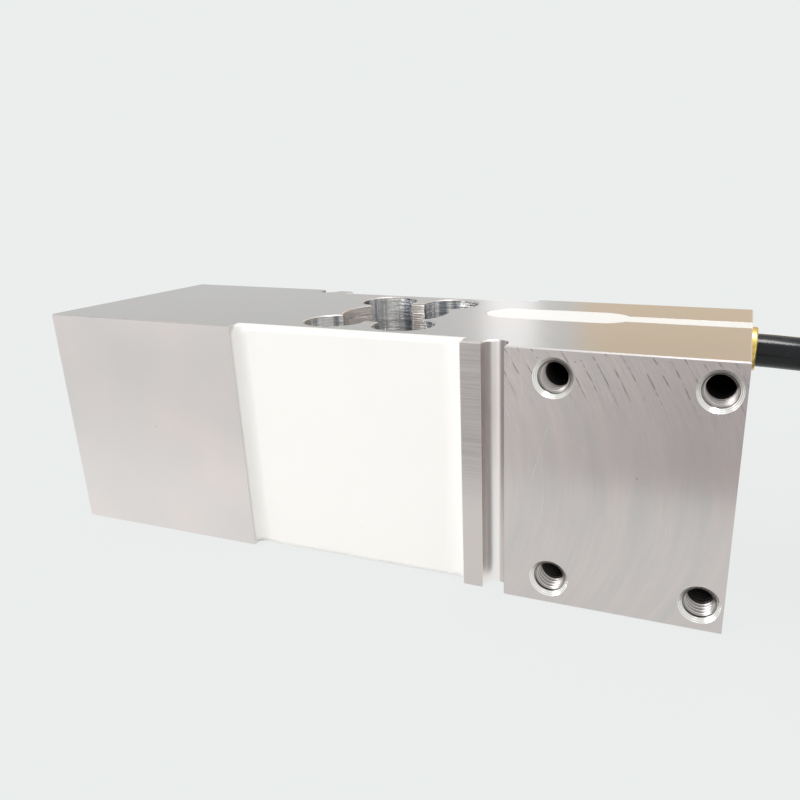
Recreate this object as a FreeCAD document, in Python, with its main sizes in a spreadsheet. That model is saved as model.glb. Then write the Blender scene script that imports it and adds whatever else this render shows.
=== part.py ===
# Single point load cell: a milled aluminium beam with a five-bore pocket, four strain
# gauges under white potting, and a shielded cable that leaves one end through a brass ferrule.
#
# Frame: the beam lies on its side face. +X runs along it towards the cable, +Z is up, and
# the origin is under the beam's middle. The mounting face looks towards -Y and the loading
# face towards +Y. Millimetres.
import FreeCAD, Part
import math
import os

import Sketcher

Vector = FreeCAD.Vector

# ---------------------------------------------------------------- driving dimensions
SIZES = [
    # beam
    ("body_length", 150.0),  # along X
    ("body_height", 50.6),  # along Z, as it lies
    ("body_thickness", 49.2),  # along Y, between the two recessed side faces
    ("pad_proud", 1.0),  # mounting pad, which runs from the relief groove to the end
    ("relief_width", 4.8),  # round-bottomed groove beside each pad
    ("relief_depth", 3.1),
    ("land_width", 4.1),  # strip left between the groove and the gauge recess
    ("recess_reach", 24.8),  # its near wall, from the beam's middle
    ("recess_length", 51.0),
    ("recess_depth", 3.4),
    ("edge_break", 0.25),
    # pocket: a middle bore and four flexure bores
    ("flexure_wall", 1.7),  # metal left between a flexure bore and the gauge recess
    ("flexure_bore_radius", 6.5),
    ("flexure_bore_x", 8.0),  # from the beam's middle
    ("middle_bore_radius", 11.8),
    # tapped holes, four in each pad, at the thread's outer diameter
    ("thread_radius", 3.0),
    ("thread_depth", 15.0),
    ("mouth_radius", 3.8),
    ("hole_from_end", 4.3),
    ("hole_pitch_x", 28.0),
    ("hole_pitch_z", 40.0),
    # wiring channel in the upper side face
    ("channel_y", 5.6),
    ("channel_depth", 7.4),
    ("chamber_radius", 5.8),
    ("chamber_past_hole", 3.15),  # centre of its left round end, from the wire hole
    ("chamber_run", 19.85),  # between the centres of its two round ends
    ("slot_width", 5.6),
    ("wire_hole_radius", 1.5),
    ("wire_hole_inset", 2.3),  # from the gauge recess's wall
    ("cable_drop", 4.6),  # cable axis below the upper side face
    # brass ferrule
    ("flange_radius", 4.3),
    ("flange_thickness", 1.1),
    ("flange_rounding", 0.35),
    ("sleeve_radius", 3.9),
    ("sleeve_length", 12.0),
    ("ferrule_bore_run_out", 1.0),  # bore past the sleeve's inner end
    ("ferrule_clearance", 0.03),
    # potting
    ("potting_sink", 1.8),  # its surface, below the side face
    ("potting_round", 1.3),
    ("meniscus_near", 4.5),  # on the land's side
    ("meniscus_far", 3.1),
    ("rim_gap", 0.1),
    # gauges, terminals and board
    ("gauge_length", 8.0),
    ("gauge_width", 6.0),
    ("gauge_film", 0.15),
    ("terminal_size", 4.0),
    ("terminal_height", 0.5),
    ("terminal_gap", 1.0),  # to the gauge, and to the level of the beam's middle
    ("board_length", 20.0),
    ("board_width", 9.0),
    ("board_thickness", 1.0),
    ("resistor_length", 2.0),
    ("resistor_width", 1.25),
    ("resistor_height", 0.6),
    ("resistor_pitch_x", 3.0),
    ("resistor_pitch_y", 4.0),
    ("wire_radius", 0.35),
    ("wire_lift", 0.1),  # potting under a wire
    ("wire_pitch", 1.1),
    ("wire_bend", 1.2),
    # cable
    ("cable_radius", 3.3),
    ("cable_clearance", 0.05),  # in the ferrule
    ("route_half_length", 75.0),  # the beam's half length that the routes are drawn for
    ("core_radius", 0.65),
    ("core_pitch", 2.15),  # side by side on the board
    ("core_fan", 9.5),  # length over which they spread to the board
    ("core_bend", 6.0),
    ("drain_radius", 0.45),
    ("lead_bend", 8.0),
    # hank of the spare cable
    ("hank_start", 92.0),  # X of its near end
    ("hank_straight", 53.0),
    ("hank_inner_radius", 20.0),  # cable axis of the inner turns
    ("hank_layers", 3),  # turns on top of each other, in two columns
    ("tie_thickness", 1.2),
    ("tie_width", 3.6),
    ("tie_corner", 1.0),
    ("tie_head", 5.2),
    ("tie_head_height", 3.0),
]

# The cable's route where it isn't wound, from the ferrule to the hank and from the hank to
# its stripped end. The hank's stubs point along its first and last run.
ROUTE_TO_HANK = [
    Vector(62.0, 5.6, 46.0),
    Vector(99.0, 5.6, 46.0),
    Vector(127.0, 26.6, 32.6),
    Vector(150.0, 26.6, 24.25),
]
ROUTE_TO_END = [
    Vector(154.8, -11.3, 4.5),
    Vector(145.7, -6.05, 4.5),
    Vector(135.6, -3.25, 3.9),
]
STUB_DOWN = 19.2  # length of the stub that the cable comes down on
STUB_OUT = 12.0  # length of the stub that it leaves by
TIES_AT = {"cable_tie_1": (128.0, 1), "cable_tie_2": (140.0, -1)}  # X, and the side in Y

doc = FreeCAD.newDocument("single_point_load_cell")
sheet = doc.addObject("Spreadsheet::Sheet", "Sizes")
for line, (alias, millimetres) in enumerate(SIZES, 1):
    sheet.set(f"A{line}", alias)
    sheet.set(f"B{line}", str(millimetres))
    sheet.setAlias(f"B{line}", alias)
doc.recompute()

nodes = []  # the sub-parts, in the order they are made


def size(alias):
    return float(sheet.get(alias))


# Places that several pieces share, written once as expressions on the sheet.
HALF = "Sizes.body_length / 2"
FACE = "Sizes.body_thickness / 2"
RECESS_RIGHT = "Sizes.recess_reach"
RECESS_LEFT = f"({RECESS_RIGHT} - Sizes.recess_length)"
PAD_LEFT = f"({RECESS_RIGHT} + Sizes.land_width + Sizes.relief_width)"
RECESS_FLOOR = f"({FACE} - Sizes.recess_depth)"
FLEXURE_Y = f"({RECESS_FLOOR} - Sizes.flexure_wall - Sizes.flexure_bore_radius)"
WIRE_HOLE_X = f"({RECESS_RIGHT} - Sizes.wire_hole_inset)"
CHAMBER_LEFT = f"({WIRE_HOLE_X} + Sizes.chamber_past_hole)"
CHAMBER_RIGHT = f"({CHAMBER_LEFT} + Sizes.chamber_run)"
CHANNEL_FLOOR = "(Sizes.body_height - Sizes.channel_depth)"
CABLE_Z = "(Sizes.body_height - Sizes.cable_drop)"
FERRULE_BORE_DEPTH = "(Sizes.sleeve_length + Sizes.ferrule_bore_run_out)"
BOARD_TOP = f"({CHANNEL_FLOOR} + Sizes.board_thickness)"
CORD_SHIFT = f"({HALF} - Sizes.route_half_length)"


def value(expression):
    found = sheet.evalExpression(expression)
    return float(getattr(found, "Value", found))


# ---------------------------------------------------------------- sketches and features
def new_body(label):
    body = doc.addObject("PartDesign::Body", label)
    body.Label = label
    return body


def plane(body, role):
    return next(f for f in body.Origin.OriginFeatures if f.Role == role)


def new_sketch(body, role, name, lift=None):
    """A sketch on one of the body's own origin planes, lifted along the plane's normal."""
    sketch = body.newObject("Sketcher::SketchObject", name)
    sketch.AttachmentSupport = (plane(body, role), [""])
    sketch.MapMode = "FlatFace"
    if lift:
        sketch.setExpression("AttachmentOffset.Base.z", lift)
    return sketch


def hold(sketch, kind, *where, by):
    """Add one dimension and bind it to an expression."""
    index = sketch.addConstraint(Sketcher.Constraint(kind, *where, value(by)))
    sketch.setExpression(f"Constraints[{index}]", by)


def chain(sketch, curves):
    """Add the curves of one closed loop and return their numbers."""
    first = sketch.GeometryCount
    sketch.addGeometry(curves, False)
    return list(range(first, first + len(curves)))


def join(sketch, one, end, other, start):
    sketch.addConstraint(Sketcher.Constraint("Coincident", one, end, other, start))


def add_rectangle(sketch, left, right, bottom, top):
    x0, x1, y0, y1 = (value(e) for e in (left, right, bottom, top))
    corners = [Vector(x0, y0), Vector(x1, y0), Vector(x1, y1), Vector(x0, y1)]
    sides = chain(
        sketch, [Part.LineSegment(corners[i], corners[(i + 1) % 4]) for i in range(4)]
    )
    for i in range(4):
        join(sketch, sides[i], 2, sides[(i + 1) % 4], 1)
        kind = "Horizontal" if i % 2 == 0 else "Vertical"
        sketch.addConstraint(Sketcher.Constraint(kind, sides[i]))
    hold(sketch, "DistanceX", -1, 1, sides[0], 1, by=left)
    hold(sketch, "DistanceY", -1, 1, sides[0], 1, by=bottom)
    hold(sketch, "DistanceX", -1, 1, sides[1], 2, by=right)
    hold(sketch, "DistanceY", -1, 1, sides[1], 2, by=top)


def add_circle(sketch, x, y, radius):
    centre = Vector(value(x), value(y))
    circle = sketch.addGeometry(Part.Circle(centre, Vector(0, 0, 1), value(radius)), False)
    hold(sketch, "DistanceX", -1, 1, circle, 3, by=x)
    hold(sketch, "DistanceY", -1, 1, circle, 3, by=y)
    hold(sketch, "Radius", circle, by=radius)


def add_stadium(sketch, left, right, y, radius):
    """A slot outline: two round ends about (left, y) and (right, y)."""
    a, b, c, r = (value(e) for e in (left, right, y, radius))
    up = Vector(0, 0, 1)
    far, near = (
        Part.ArcOfCircle(Part.Circle(Vector(x, c), up, r), start, start + math.pi)
        for x, start in ((a, math.pi / 2), (b, -math.pi / 2))
    )
    low = Part.LineSegment(Vector(a, c - r), Vector(b, c - r))
    high = Part.LineSegment(Vector(b, c + r), Vector(a, c + r))
    arc_a, side_low, arc_b, side_high = chain(sketch, [far, low, near, high])
    for one, other in (
        (arc_a, side_low),
        (side_low, arc_b),
        (arc_b, side_high),
        (side_high, arc_a),
    ):
        sketch.addConstraint(Sketcher.Constraint("Tangent", one, 2, other, 1))
    sketch.addConstraint(Sketcher.Constraint("Horizontal", side_low))
    hold(sketch, "DistanceX", -1, 1, arc_a, 3, by=left)
    hold(sketch, "DistanceY", -1, 1, arc_a, 3, by=y)
    hold(sketch, "DistanceX", -1, 1, arc_b, 3, by=right)
    hold(sketch, "Radius", arc_a, by=radius)


def pad(body, sketch, name, length):
    feature = body.newObject("PartDesign::Pad", name)
    feature.Profile = sketch
    feature.setExpression("Length", length)
    return feature


def pocket(body, sketch, name, length=None, both=False, reverse=False):
    """Cut a sketch to a depth, or right through."""
    feature = body.newObject("PartDesign::Pocket", name)
    feature.Profile = sketch
    feature.Reversed = reverse
    if both:
        feature.SideType = "Symmetric"
    if length:
        feature.setExpression("Length", length)
    else:
        feature.Type = "ThroughAll"
    return feature


def edges_where(shape, test):
    return [f"Edge{i}" for i, edge in enumerate(shape.Edges, 1) if test(edge)]


def lies_at_z(edge, z):
    return all(abs(v.Z - z) < 1e-4 for v in edge.Vertexes) and (
        abs(edge.BoundBox.ZLength) < 1e-4
    )


def cut_counts(body, feature):
    """A pocket that points the wrong way cuts nothing and shows no error."""
    before = feature.BaseFeature.Shape.Volume
    if not feature.Shape.Volume < before - 1e-3:
        raise RuntimeError(f"{feature.Name} in {body.Label} cuts nothing")


# ---------------------------------------------------------------- the beam
def make_beam():
    body = new_body("spring_element")
    outline = new_sketch(body, "XY_Plane", "beam_outline")
    add_rectangle(outline, f"-{HALF}", HALF, f"-{FACE}", FACE)
    pad(body, outline, "beam_block", "Sizes.body_height")

    raised = new_sketch(body, "XY_Plane", "mounting_pad_outline")
    add_rectangle(
        raised, PAD_LEFT, HALF, f"-{FACE} - Sizes.pad_proud", f"-{FACE} + Sizes.pad_proud"
    )
    mounting_pad = pad(body, raised, "mounting_pad", "Sizes.body_height")

    groove_radius = "Sizes.relief_width / 2"
    groove_x = f"({PAD_LEFT} - {groove_radius})"
    groove = new_sketch(body, "XY_Plane", "relief_outline")
    add_groove_outline(groove, groove_x, groove_radius)
    relief = pocket(body, groove, "relief_groove", reverse=True)

    recess = new_sketch(body, "XY_Plane", "gauge_recess_outline")
    add_rectangle(
        recess, RECESS_LEFT, RECESS_RIGHT, f"-{FACE} - Sizes.pad_proud", f"-{RECESS_FLOOR}"
    )
    gauge_recess = pocket(body, recess, "gauge_recess", reverse=True)

    doc.recompute()
    holes = new_sketch(
        body, "XZ_Plane", "tapped_hole_centres", f"{FACE} + Sizes.pad_proud"
    )
    for column in (0, 1):
        for row in (-1, 1):
            add_circle(
                holes,
                f"{HALF} - Sizes.hole_from_end - {column} * Sizes.hole_pitch_x",
                f"Sizes.body_height / 2 + {row} * Sizes.hole_pitch_z / 2",
                "Sizes.thread_radius",
            )
    doc.recompute()
    tapped = body.newObject("PartDesign::Hole", "tapped_holes")
    tapped.Profile = holes
    doc.recompute()
    tapped.DepthType = "Dimension"
    tapped.setExpression("Depth", "Sizes.thread_depth")
    tapped.setExpression("Diameter", "2 * Sizes.thread_radius")
    tapped.DrillPoint = "Angled"
    tapped.HoleCutType = "Countersink"
    tapped.HoleCutCountersinkAngle = 90
    tapped.setExpression("HoleCutDiameter", "2 * Sizes.mouth_radius")
    doc.recompute()

    # The loading side is the mounting side turned half round about the upright axis.
    other_side = body.newObject("PartDesign::PolarPattern", "loading_side")
    other_side.Originals = [mounting_pad, relief, gauge_recess, tapped]
    other_side.Axis = (plane(body, "Z_Axis"), [""])
    other_side.Angle = 360
    other_side.Occurrences = 2
    body.Tip = other_side

    flexures = new_sketch(body, "XY_Plane", "flexure_bores")
    for x in (-1, 1):
        for y in (-1, 1):
            add_circle(
                flexures,
                f"{x} * Sizes.flexure_bore_x",
                f"{y} * {FLEXURE_Y}",
                "Sizes.flexure_bore_radius",
            )
    middle = new_sketch(body, "XY_Plane", "middle_bore")
    around = middle.addGeometry(
        Part.Circle(Vector(0, 0), Vector(0, 0, 1), size("middle_bore_radius")), False
    )
    join(middle, around, 3, -1, 1)
    hold(middle, "Radius", around, by="Sizes.middle_bore_radius")
    cuts = [
        pocket(body, flexures, "flexure_bore_cut", reverse=True),
        pocket(body, middle, "middle_bore_cut", reverse=True),
    ]

    chamber = new_sketch(body, "XY_Plane", "wiring_chamber", "Sizes.body_height")
    add_stadium(chamber, CHAMBER_LEFT, CHAMBER_RIGHT, "Sizes.channel_y",
                "Sizes.chamber_radius")
    slot = new_sketch(body, "XY_Plane", "cable_slot", "Sizes.body_height")
    add_rectangle(
        slot,
        CHAMBER_RIGHT,
        HALF,
        "Sizes.channel_y - Sizes.slot_width / 2",
        "Sizes.channel_y + Sizes.slot_width / 2",
    )
    bore = new_sketch(body, "YZ_Plane", "ferrule_bore", HALF)
    add_circle(bore, "Sizes.channel_y", CABLE_Z,
               "Sizes.sleeve_radius + Sizes.ferrule_clearance")
    drilling = new_sketch(body, "XZ_Plane", "wire_hole")
    add_circle(drilling, WIRE_HOLE_X, CABLE_Z, "Sizes.wire_hole_radius")
    cuts += [
        pocket(body, chamber, "wiring_chamber_cut", "Sizes.channel_depth"),
        pocket(body, slot, "cable_slot_cut", "Sizes.channel_depth"),
        pocket(body, bore, "ferrule_bore_cut", FERRULE_BORE_DEPTH),
        pocket(body, drilling, "wire_hole_cut", both=True),
    ]
    doc.recompute()
    for cut in cuts:
        cut_counts(body, cut)

    # Every sharp edge of the two side faces is broken, the pocket's rims too.
    broken = body.newObject("PartDesign::Chamfer", "broken_edges")
    shape = cuts[-1].Shape
    names = edges_where(shape, lambda e: lies_at_z(e, 0) or lies_at_z(e, shape.BoundBox.ZMax))
    broken.Base = (cuts[-1], names)
    broken.setExpression("Size", "Sizes.edge_break")
    doc.recompute()
    nodes.append(body)
    return body


def add_groove_outline(sketch, x, radius):
    """A U open towards -Y: straight walls and a round bottom at relief_depth."""
    cx, r = value(x), value(radius)
    face, deep, out = value(FACE), size("relief_depth"), size("pad_proud")
    cy = -face + deep - r
    top = -face - out - 1
    arc = Part.ArcOfCircle(Part.Circle(Vector(cx, cy), Vector(0, 0, 1), r), 0, math.pi)
    bottom, left, mouth, right = chain(
        sketch,
        [
            arc,
            Part.LineSegment(Vector(cx - r, cy), Vector(cx - r, top)),
            Part.LineSegment(Vector(cx - r, top), Vector(cx + r, top)),
            Part.LineSegment(Vector(cx + r, top), Vector(cx + r, cy)),
        ],
    )
    sketch.addConstraint(Sketcher.Constraint("Tangent", bottom, 2, left, 1))
    sketch.addConstraint(Sketcher.Constraint("Tangent", right, 2, bottom, 1))
    join(sketch, left, 2, mouth, 1)
    join(sketch, mouth, 2, right, 1)
    for side in (left, right):
        sketch.addConstraint(Sketcher.Constraint("Vertical", side))
    sketch.addConstraint(Sketcher.Constraint("Horizontal", mouth))
    hold(sketch, "Radius", bottom, by=radius)
    hold(sketch, "DistanceX", -1, 1, bottom, 3, by=x)
    hold(sketch, "DistanceY", -1, 1, bottom, 3,
         by=f"-{FACE} + Sizes.relief_depth - {radius}")
    hold(sketch, "DistanceY", -1, 1, mouth, 1, by=f"-{FACE} - Sizes.pad_proud - 1")


# ---------------------------------------------------------------- routes of round things
def follow(points, largest=None):
    """A wire of straight runs and tangent arcs through the points, and the arcs' radii."""
    edges, radii, start = [], [], points[0]
    for before, corner, after in zip(points, points[1:], points[2:]):
        back, ahead = before - corner, after - corner
        turn = math.pi - back.getAngle(ahead)
        reach = 0.45 * min(back.Length, ahead.Length)
        radius = reach / math.tan(turn / 2)
        if largest and radius > largest:
            radius, reach = largest, largest * math.tan(turn / 2)
        back.normalize()
        ahead.normalize()
        inward = (back + ahead).normalize()
        enter, leave = corner + back * reach, corner + ahead * reach
        middle = corner + inward * (radius / math.cos(turn / 2) - radius)
        edges += [
            Part.LineSegment(start, enter).toShape(),
            Part.Arc(enter, middle, leave).toShape(),
        ]
        radii.append(radius)
        start = leave
    edges.append(Part.LineSegment(start, points[-1]).toShape())
    return Part.Wire(edges), radii


def round_tube(points, radius, largest=None):
    """A solid round bar along the points' wire, its volume checked against its length."""
    path, radii = follow(points, largest)
    section = Part.Wire(Part.makeCircle(radius, points[0], points[1] - points[0]))
    solid = path.makePipeShell([section], True, False)
    wanted = math.pi * radius**2 * path.Length
    if abs(solid.Volume - wanted) > 0.01 * wanted:
        raise RuntimeError(f"tube volume {solid.Volume:.1f}, its length gives {wanted:.1f}")
    return solid, path.Length, radii


def add_shape(label, shape):
    feature = doc.addObject("Part::Feature", label)
    feature.Label = label
    feature.Shape = shape
    nodes.append(feature)
    return feature


# ---------------------------------------------------------------- gauges and their wiring
HALF_TURN = FreeCAD.Placement(Vector(0, 0, 0), FreeCAD.Rotation(Vector(0, 0, 1), 180))
SIDES = {"front": FreeCAD.Placement(), "rear": HALF_TURN}
TERMINAL_LEFT = "(Sizes.flexure_bore_x + Sizes.gauge_length / 2 + Sizes.terminal_gap)"


def make_gauge(side, number, x_sign):
    """A foil gauge on its film, bonded over one flexure bore."""
    body = new_body(f"strain_gauge_{side}_{number}")
    outline = new_sketch(body, "XZ_Plane", f"film_{side}_{number}", RECESS_FLOOR)
    centre = f"{x_sign} * Sizes.flexure_bore_x"
    middle = "Sizes.body_height / 2"
    add_rectangle(
        outline,
        f"{centre} - Sizes.gauge_length / 2",
        f"{centre} + Sizes.gauge_length / 2",
        f"{middle} - Sizes.gauge_width / 2",
        f"{middle} + Sizes.gauge_width / 2",
    )
    pad(body, outline, f"film_pad_{side}_{number}", "Sizes.gauge_film")
    body.Placement = SIDES[side]
    nodes.append(body)
    return body


def make_terminals(side):
    """Two solder terminals beside the gauges, one above the other."""
    blocks = []
    for name, bottom in (
        ("low", "-Sizes.terminal_gap - Sizes.terminal_size"),
        ("high", "+Sizes.terminal_gap"),
    ):
        block = doc.addObject("Part::Box", f"terminal_{side}_{name}")
        block.setExpression("Length", "Sizes.terminal_size")
        block.setExpression("Height", "Sizes.terminal_size")
        block.setExpression("Width", "Sizes.terminal_height")
        block.setExpression("Placement.Base.x", TERMINAL_LEFT)
        block.setExpression("Placement.Base.y", f"-{RECESS_FLOOR} - Sizes.terminal_height")
        block.setExpression("Placement.Base.z", f"Sizes.body_height / 2 {bottom}")
        blocks.append(block)
    group = doc.addObject("Part::Compound", f"solder_terminals_{side}")
    group.Label = group.Name
    group.Links = blocks
    group.Placement = SIDES[side]
    nodes.append(group)
    return group


def make_gauge_wires(side):
    """Two enamelled wires from the terminals, through the drilled hole, to the board.

    On the recess floor they are laid out on the front face. The rear ones are turned
    half round with their face, and there the hole lies past the gauges.
    """
    lift = size("wire_radius") + size("wire_lift")
    on_floor = -value(RECESS_FLOOR) - lift
    middle, hole_z = size("body_height") / 2, value(CABLE_Z)
    start_x = value(TERMINAL_LEFT) + size("terminal_size")
    terminal_z = size("terminal_gap") + size("terminal_size") / 2
    apart = size("wire_pitch") / 2
    inward = 1 if side == "front" else -1
    solids = []
    for k in (-1, 1):
        in_hole = Vector(value(WIRE_HOLE_X) + inward * k * apart, 0, hole_z + k * apart)
        down_x = inward * in_hole.x
        points = [(start_x, middle + k * terminal_z)]
        if side == "front":
            points.append((down_x, middle + k * terminal_z))
        else:
            beside = start_x + size("wire_pitch") * (2 + k)
            above = middle + size("gauge_width") + size("wire_pitch") * (3 + k)
            points += [(beside, middle + k * terminal_z), (beside, above), (down_x, above)]
        points.append((down_x, in_hole.z))
        on_recess = [SIDES[side].multVec(Vector(x, on_floor, z)) for x, z in points]
        y = size("channel_y") - inward * size("wire_pitch") * (2 + k / 2)
        board_x = value(CHAMBER_LEFT) + size("chamber_radius") / 3
        board_z = value(BOARD_TOP) + lift
        in_chamber = [
            Vector(in_hole.x, y, in_hole.z),
            Vector(board_x, y, board_z),
            Vector(board_x + 2 * size("wire_pitch"), y, board_z),
        ]
        bar = round_tube(on_recess + in_chamber, size("wire_radius"), size("wire_bend"))
        solids.append(bar[0])
    return add_shape(f"gauge_wires_{side}", Part.makeCompound(solids))


def make_board():
    """The compensation board on the chamber's floor."""
    block = doc.addObject("Part::Box", "compensation_board")
    block.Label = block.Name
    block.setExpression("Length", "Sizes.board_length")
    block.setExpression("Width", "Sizes.board_width")
    block.setExpression("Height", "Sizes.board_thickness")
    x = f"{CHAMBER_LEFT} + (Sizes.chamber_run - Sizes.board_length) / 2"
    block.setExpression("Placement.Base.x", x)
    block.setExpression("Placement.Base.y", "Sizes.channel_y - Sizes.board_width / 2")
    block.setExpression("Placement.Base.z", CHANNEL_FLOOR)
    nodes.append(block)
    return block


def make_resistors():
    """Six trimming resistors on the board, in two rows."""
    blocks = []
    for column in range(3):
        for row in (-1, 1):
            name = f"resistor_{column + 1}{'a' if row < 0 else 'b'}"
            block = doc.addObject("Part::Box", name)
            block.setExpression("Length", "Sizes.resistor_length")
            block.setExpression("Width", "Sizes.resistor_width")
            block.setExpression("Height", "Sizes.resistor_height")
            x = (
                f"{CHAMBER_LEFT} + (Sizes.chamber_run - Sizes.resistor_length) / 2"
                f" + {column - 1} * Sizes.resistor_pitch_x"
            )
            y = f"Sizes.channel_y + ({row} * Sizes.resistor_pitch_y - Sizes.resistor_width) / 2"
            block.setExpression("Placement.Base.x", x)
            block.setExpression("Placement.Base.y", y)
            block.setExpression("Placement.Base.z", BOARD_TOP)
            blocks.append(block)
    group = doc.addObject("Part::Compound", "trim_resistors")
    group.Label = group.Name
    group.Links = blocks
    nodes.append(group)
    return group


# The four cores' places round the cable's axis, as side and up. An upper core fans out
# beyond the lower one beside it, so that they don't cross.
CORES = [(-1, 1), (-1, -1), (1, -1), (1, 1)]
CORE_SPREAD = 1.3  # how far to the side and up a core lies from the axis, in core radii


def make_inner_cores():
    """The four cores from the cable's inner end to the board, side by side on it."""
    radius, y, z = size("core_radius"), size("channel_y"), value(CABLE_Z)
    off = CORE_SPREAD * radius
    end_x = value(HALF) - value(FERRULE_BORE_DEPTH)
    board_z = value(BOARD_TOP) + radius + size("wire_lift")
    fan_x = value(CHAMBER_RIGHT)
    solids = []
    for lane, (side, up) in zip((-1.5, -0.5, 0.5, 1.5), CORES):
        board_y = y + lane * size("core_pitch")
        points = [
            Vector(end_x, y + side * off, z + up * off),
            Vector(fan_x + size("core_fan"), y + side * off, z + up * off),
            Vector(fan_x, board_y, board_z),
            Vector(fan_x - 5 * radius, board_y, board_z),
        ]
        solids.append(round_tube(points, radius, size("core_bend"))[0])
    return add_shape("inner_cores", Part.makeCompound(solids))


# ---------------------------------------------------------------- potting
def make_side_potting(side, buried):
    """White potting over a gauge recess. It creeps up both end walls of the recess."""
    body = new_body(f"potting_fill_{side}")
    profile = new_sketch(body, "XY_Plane", f"potting_profile_{side}")
    add_potting_profile(profile)
    filled = pad(body, profile, f"potting_pad_{side}", "Sizes.body_height")
    doc.recompute()
    surface = -value(FACE) + size("potting_sink")
    shape = filled.Shape
    rounding = body.newObject("PartDesign::Fillet", f"potting_rounding_{side}")
    names = edges_where(
        shape,
        lambda e: (lies_at_z(e, 0) or lies_at_z(e, shape.BoundBox.ZMax))
        and max(v.Y for v in e.Vertexes) < surface + 1e-4
        and abs(e.BoundBox.YLength) < 1e-4,
    )
    rounding.Base = (filled, names)
    rounding.setExpression("Radius", "Sizes.potting_round")
    doc.recompute()
    body.Placement = SIDES[side]
    hollows = doc.addObject("Part::MultiFuse", f"buried_{side}")
    hollows.Shapes = buried
    cut = doc.addObject("Part::Cut", f"potting_{side}")
    cut.Label = cut.Name
    cut.Base, cut.Tool = body, hollows
    nodes.append(cut)


def add_potting_profile(sketch):
    left, right = value(RECESS_LEFT), value(RECESS_RIGHT)
    floor, face = -value(RECESS_FLOOR), -value(FACE)
    rim, flat = face + size("rim_gap"), face + size("potting_sink")
    drop = flat - rim

    def creep(x_wall, run, sign):
        """The hollow arc from the flat up to the wall, and its centre."""
        radius = (run**2 + drop**2) / (2 * drop)
        centre = Vector(x_wall - sign * run, flat - radius)
        along = math.atan2(rim - centre.y, x_wall - centre.x)
        circle = Part.Circle(centre, Vector(0, 0, 1), radius)
        start, end = sorted((along, math.pi / 2))
        return Part.ArcOfCircle(circle, start, end)

    far, near = size("meniscus_far"), size("meniscus_near")
    curves = [
        Part.LineSegment(Vector(left, floor), Vector(right, floor)),
        Part.LineSegment(Vector(right, floor), Vector(right, rim)),
        creep(right, near, 1),
        Part.LineSegment(Vector(right - near, flat), Vector(left + far, flat)),
        creep(left, far, -1),
        Part.LineSegment(Vector(left, rim), Vector(left, floor)),
    ]
    base, wall_near, arc_near, flat_line, arc_far, wall_far = chain(sketch, curves)
    join(sketch, base, 2, wall_near, 1)
    join(sketch, wall_near, 2, arc_near, 1)
    join(sketch, arc_far, 2, wall_far, 1)
    join(sketch, wall_far, 2, base, 1)
    sketch.addConstraint(Sketcher.Constraint("Horizontal", base))
    sketch.addConstraint(Sketcher.Constraint("Horizontal", flat_line))
    for wall in (wall_near, wall_far):
        sketch.addConstraint(Sketcher.Constraint("Vertical", wall))
    sketch.addConstraint(Sketcher.Constraint("Tangent", flat_line, 1, arc_near, 2))
    sketch.addConstraint(Sketcher.Constraint("Tangent", flat_line, 2, arc_far, 1))
    hold(sketch, "DistanceX", -1, 1, base, 1, by=RECESS_LEFT)
    hold(sketch, "DistanceX", -1, 1, base, 2, by=RECESS_RIGHT)
    hold(sketch, "DistanceY", -1, 1, base, 1, by=f"-{RECESS_FLOOR}")
    hold(sketch, "DistanceY", -1, 1, wall_near, 2, by=f"-{FACE} + Sizes.rim_gap")
    hold(sketch, "DistanceY", -1, 1, wall_far, 1, by=f"-{FACE} + Sizes.rim_gap")
    hold(sketch, "DistanceY", -1, 1, flat_line, 1, by=f"-{FACE} + Sizes.potting_sink")
    hold(sketch, "DistanceX", -1, 1, flat_line, 1,
         by=f"{RECESS_RIGHT} - Sizes.meniscus_near")
    hold(sketch, "DistanceX", -1, 1, flat_line, 2,
         by=f"{RECESS_LEFT} + Sizes.meniscus_far")


def make_channel_potting(buried):
    """White potting that fills the wiring chamber and the cable slot to the brim."""
    body = new_body("channel_fill")
    chamber = new_sketch(body, "XY_Plane", "chamber_fill_outline", CHANNEL_FLOOR)
    add_stadium(chamber, CHAMBER_LEFT, CHAMBER_RIGHT, "Sizes.channel_y",
                "Sizes.chamber_radius")
    pad(body, chamber, "chamber_fill", "Sizes.channel_depth")
    slot = new_sketch(body, "XY_Plane", "slot_fill_outline", CHANNEL_FLOOR)
    add_rectangle(
        slot,
        CHAMBER_RIGHT,
        HALF,
        "Sizes.channel_y - Sizes.slot_width / 2",
        "Sizes.channel_y + Sizes.slot_width / 2",
    )
    pad(body, slot, "slot_fill", "Sizes.channel_depth")

    # Round the ferrule only the slot above it is filled.
    bore = doc.addObject("Part::Cylinder", "ferrule_space")
    bore.setExpression("Radius", "Sizes.sleeve_radius + Sizes.ferrule_clearance")
    bore.setExpression("Height", FERRULE_BORE_DEPTH)
    bore.Placement.Rotation = FreeCAD.Rotation(Vector(0, 1, 0), 90)
    bore.setExpression("Placement.Base.x", f"{HALF} - {FERRULE_BORE_DEPTH}")
    bore.setExpression("Placement.Base.y", "Sizes.channel_y")
    bore.setExpression("Placement.Base.z", CABLE_Z)
    below = doc.addObject("Part::Box", "space_below_ferrule")
    below.setExpression("Length", FERRULE_BORE_DEPTH)
    below.setExpression("Width", "Sizes.slot_width")
    below.setExpression("Height", f"{CABLE_Z} - {CHANNEL_FLOOR}")
    below.setExpression("Placement.Base.x", f"{HALF} - {FERRULE_BORE_DEPTH}")
    below.setExpression("Placement.Base.y", "Sizes.channel_y - Sizes.slot_width / 2")
    below.setExpression("Placement.Base.z", CHANNEL_FLOOR)

    hollows = doc.addObject("Part::MultiFuse", "buried_in_channel")
    hollows.Shapes = buried + [bore, below]
    cut = doc.addObject("Part::Cut", "potting_channel")
    cut.Label = cut.Name
    cut.Base, cut.Tool = body, hollows
    nodes.append(cut)


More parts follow.
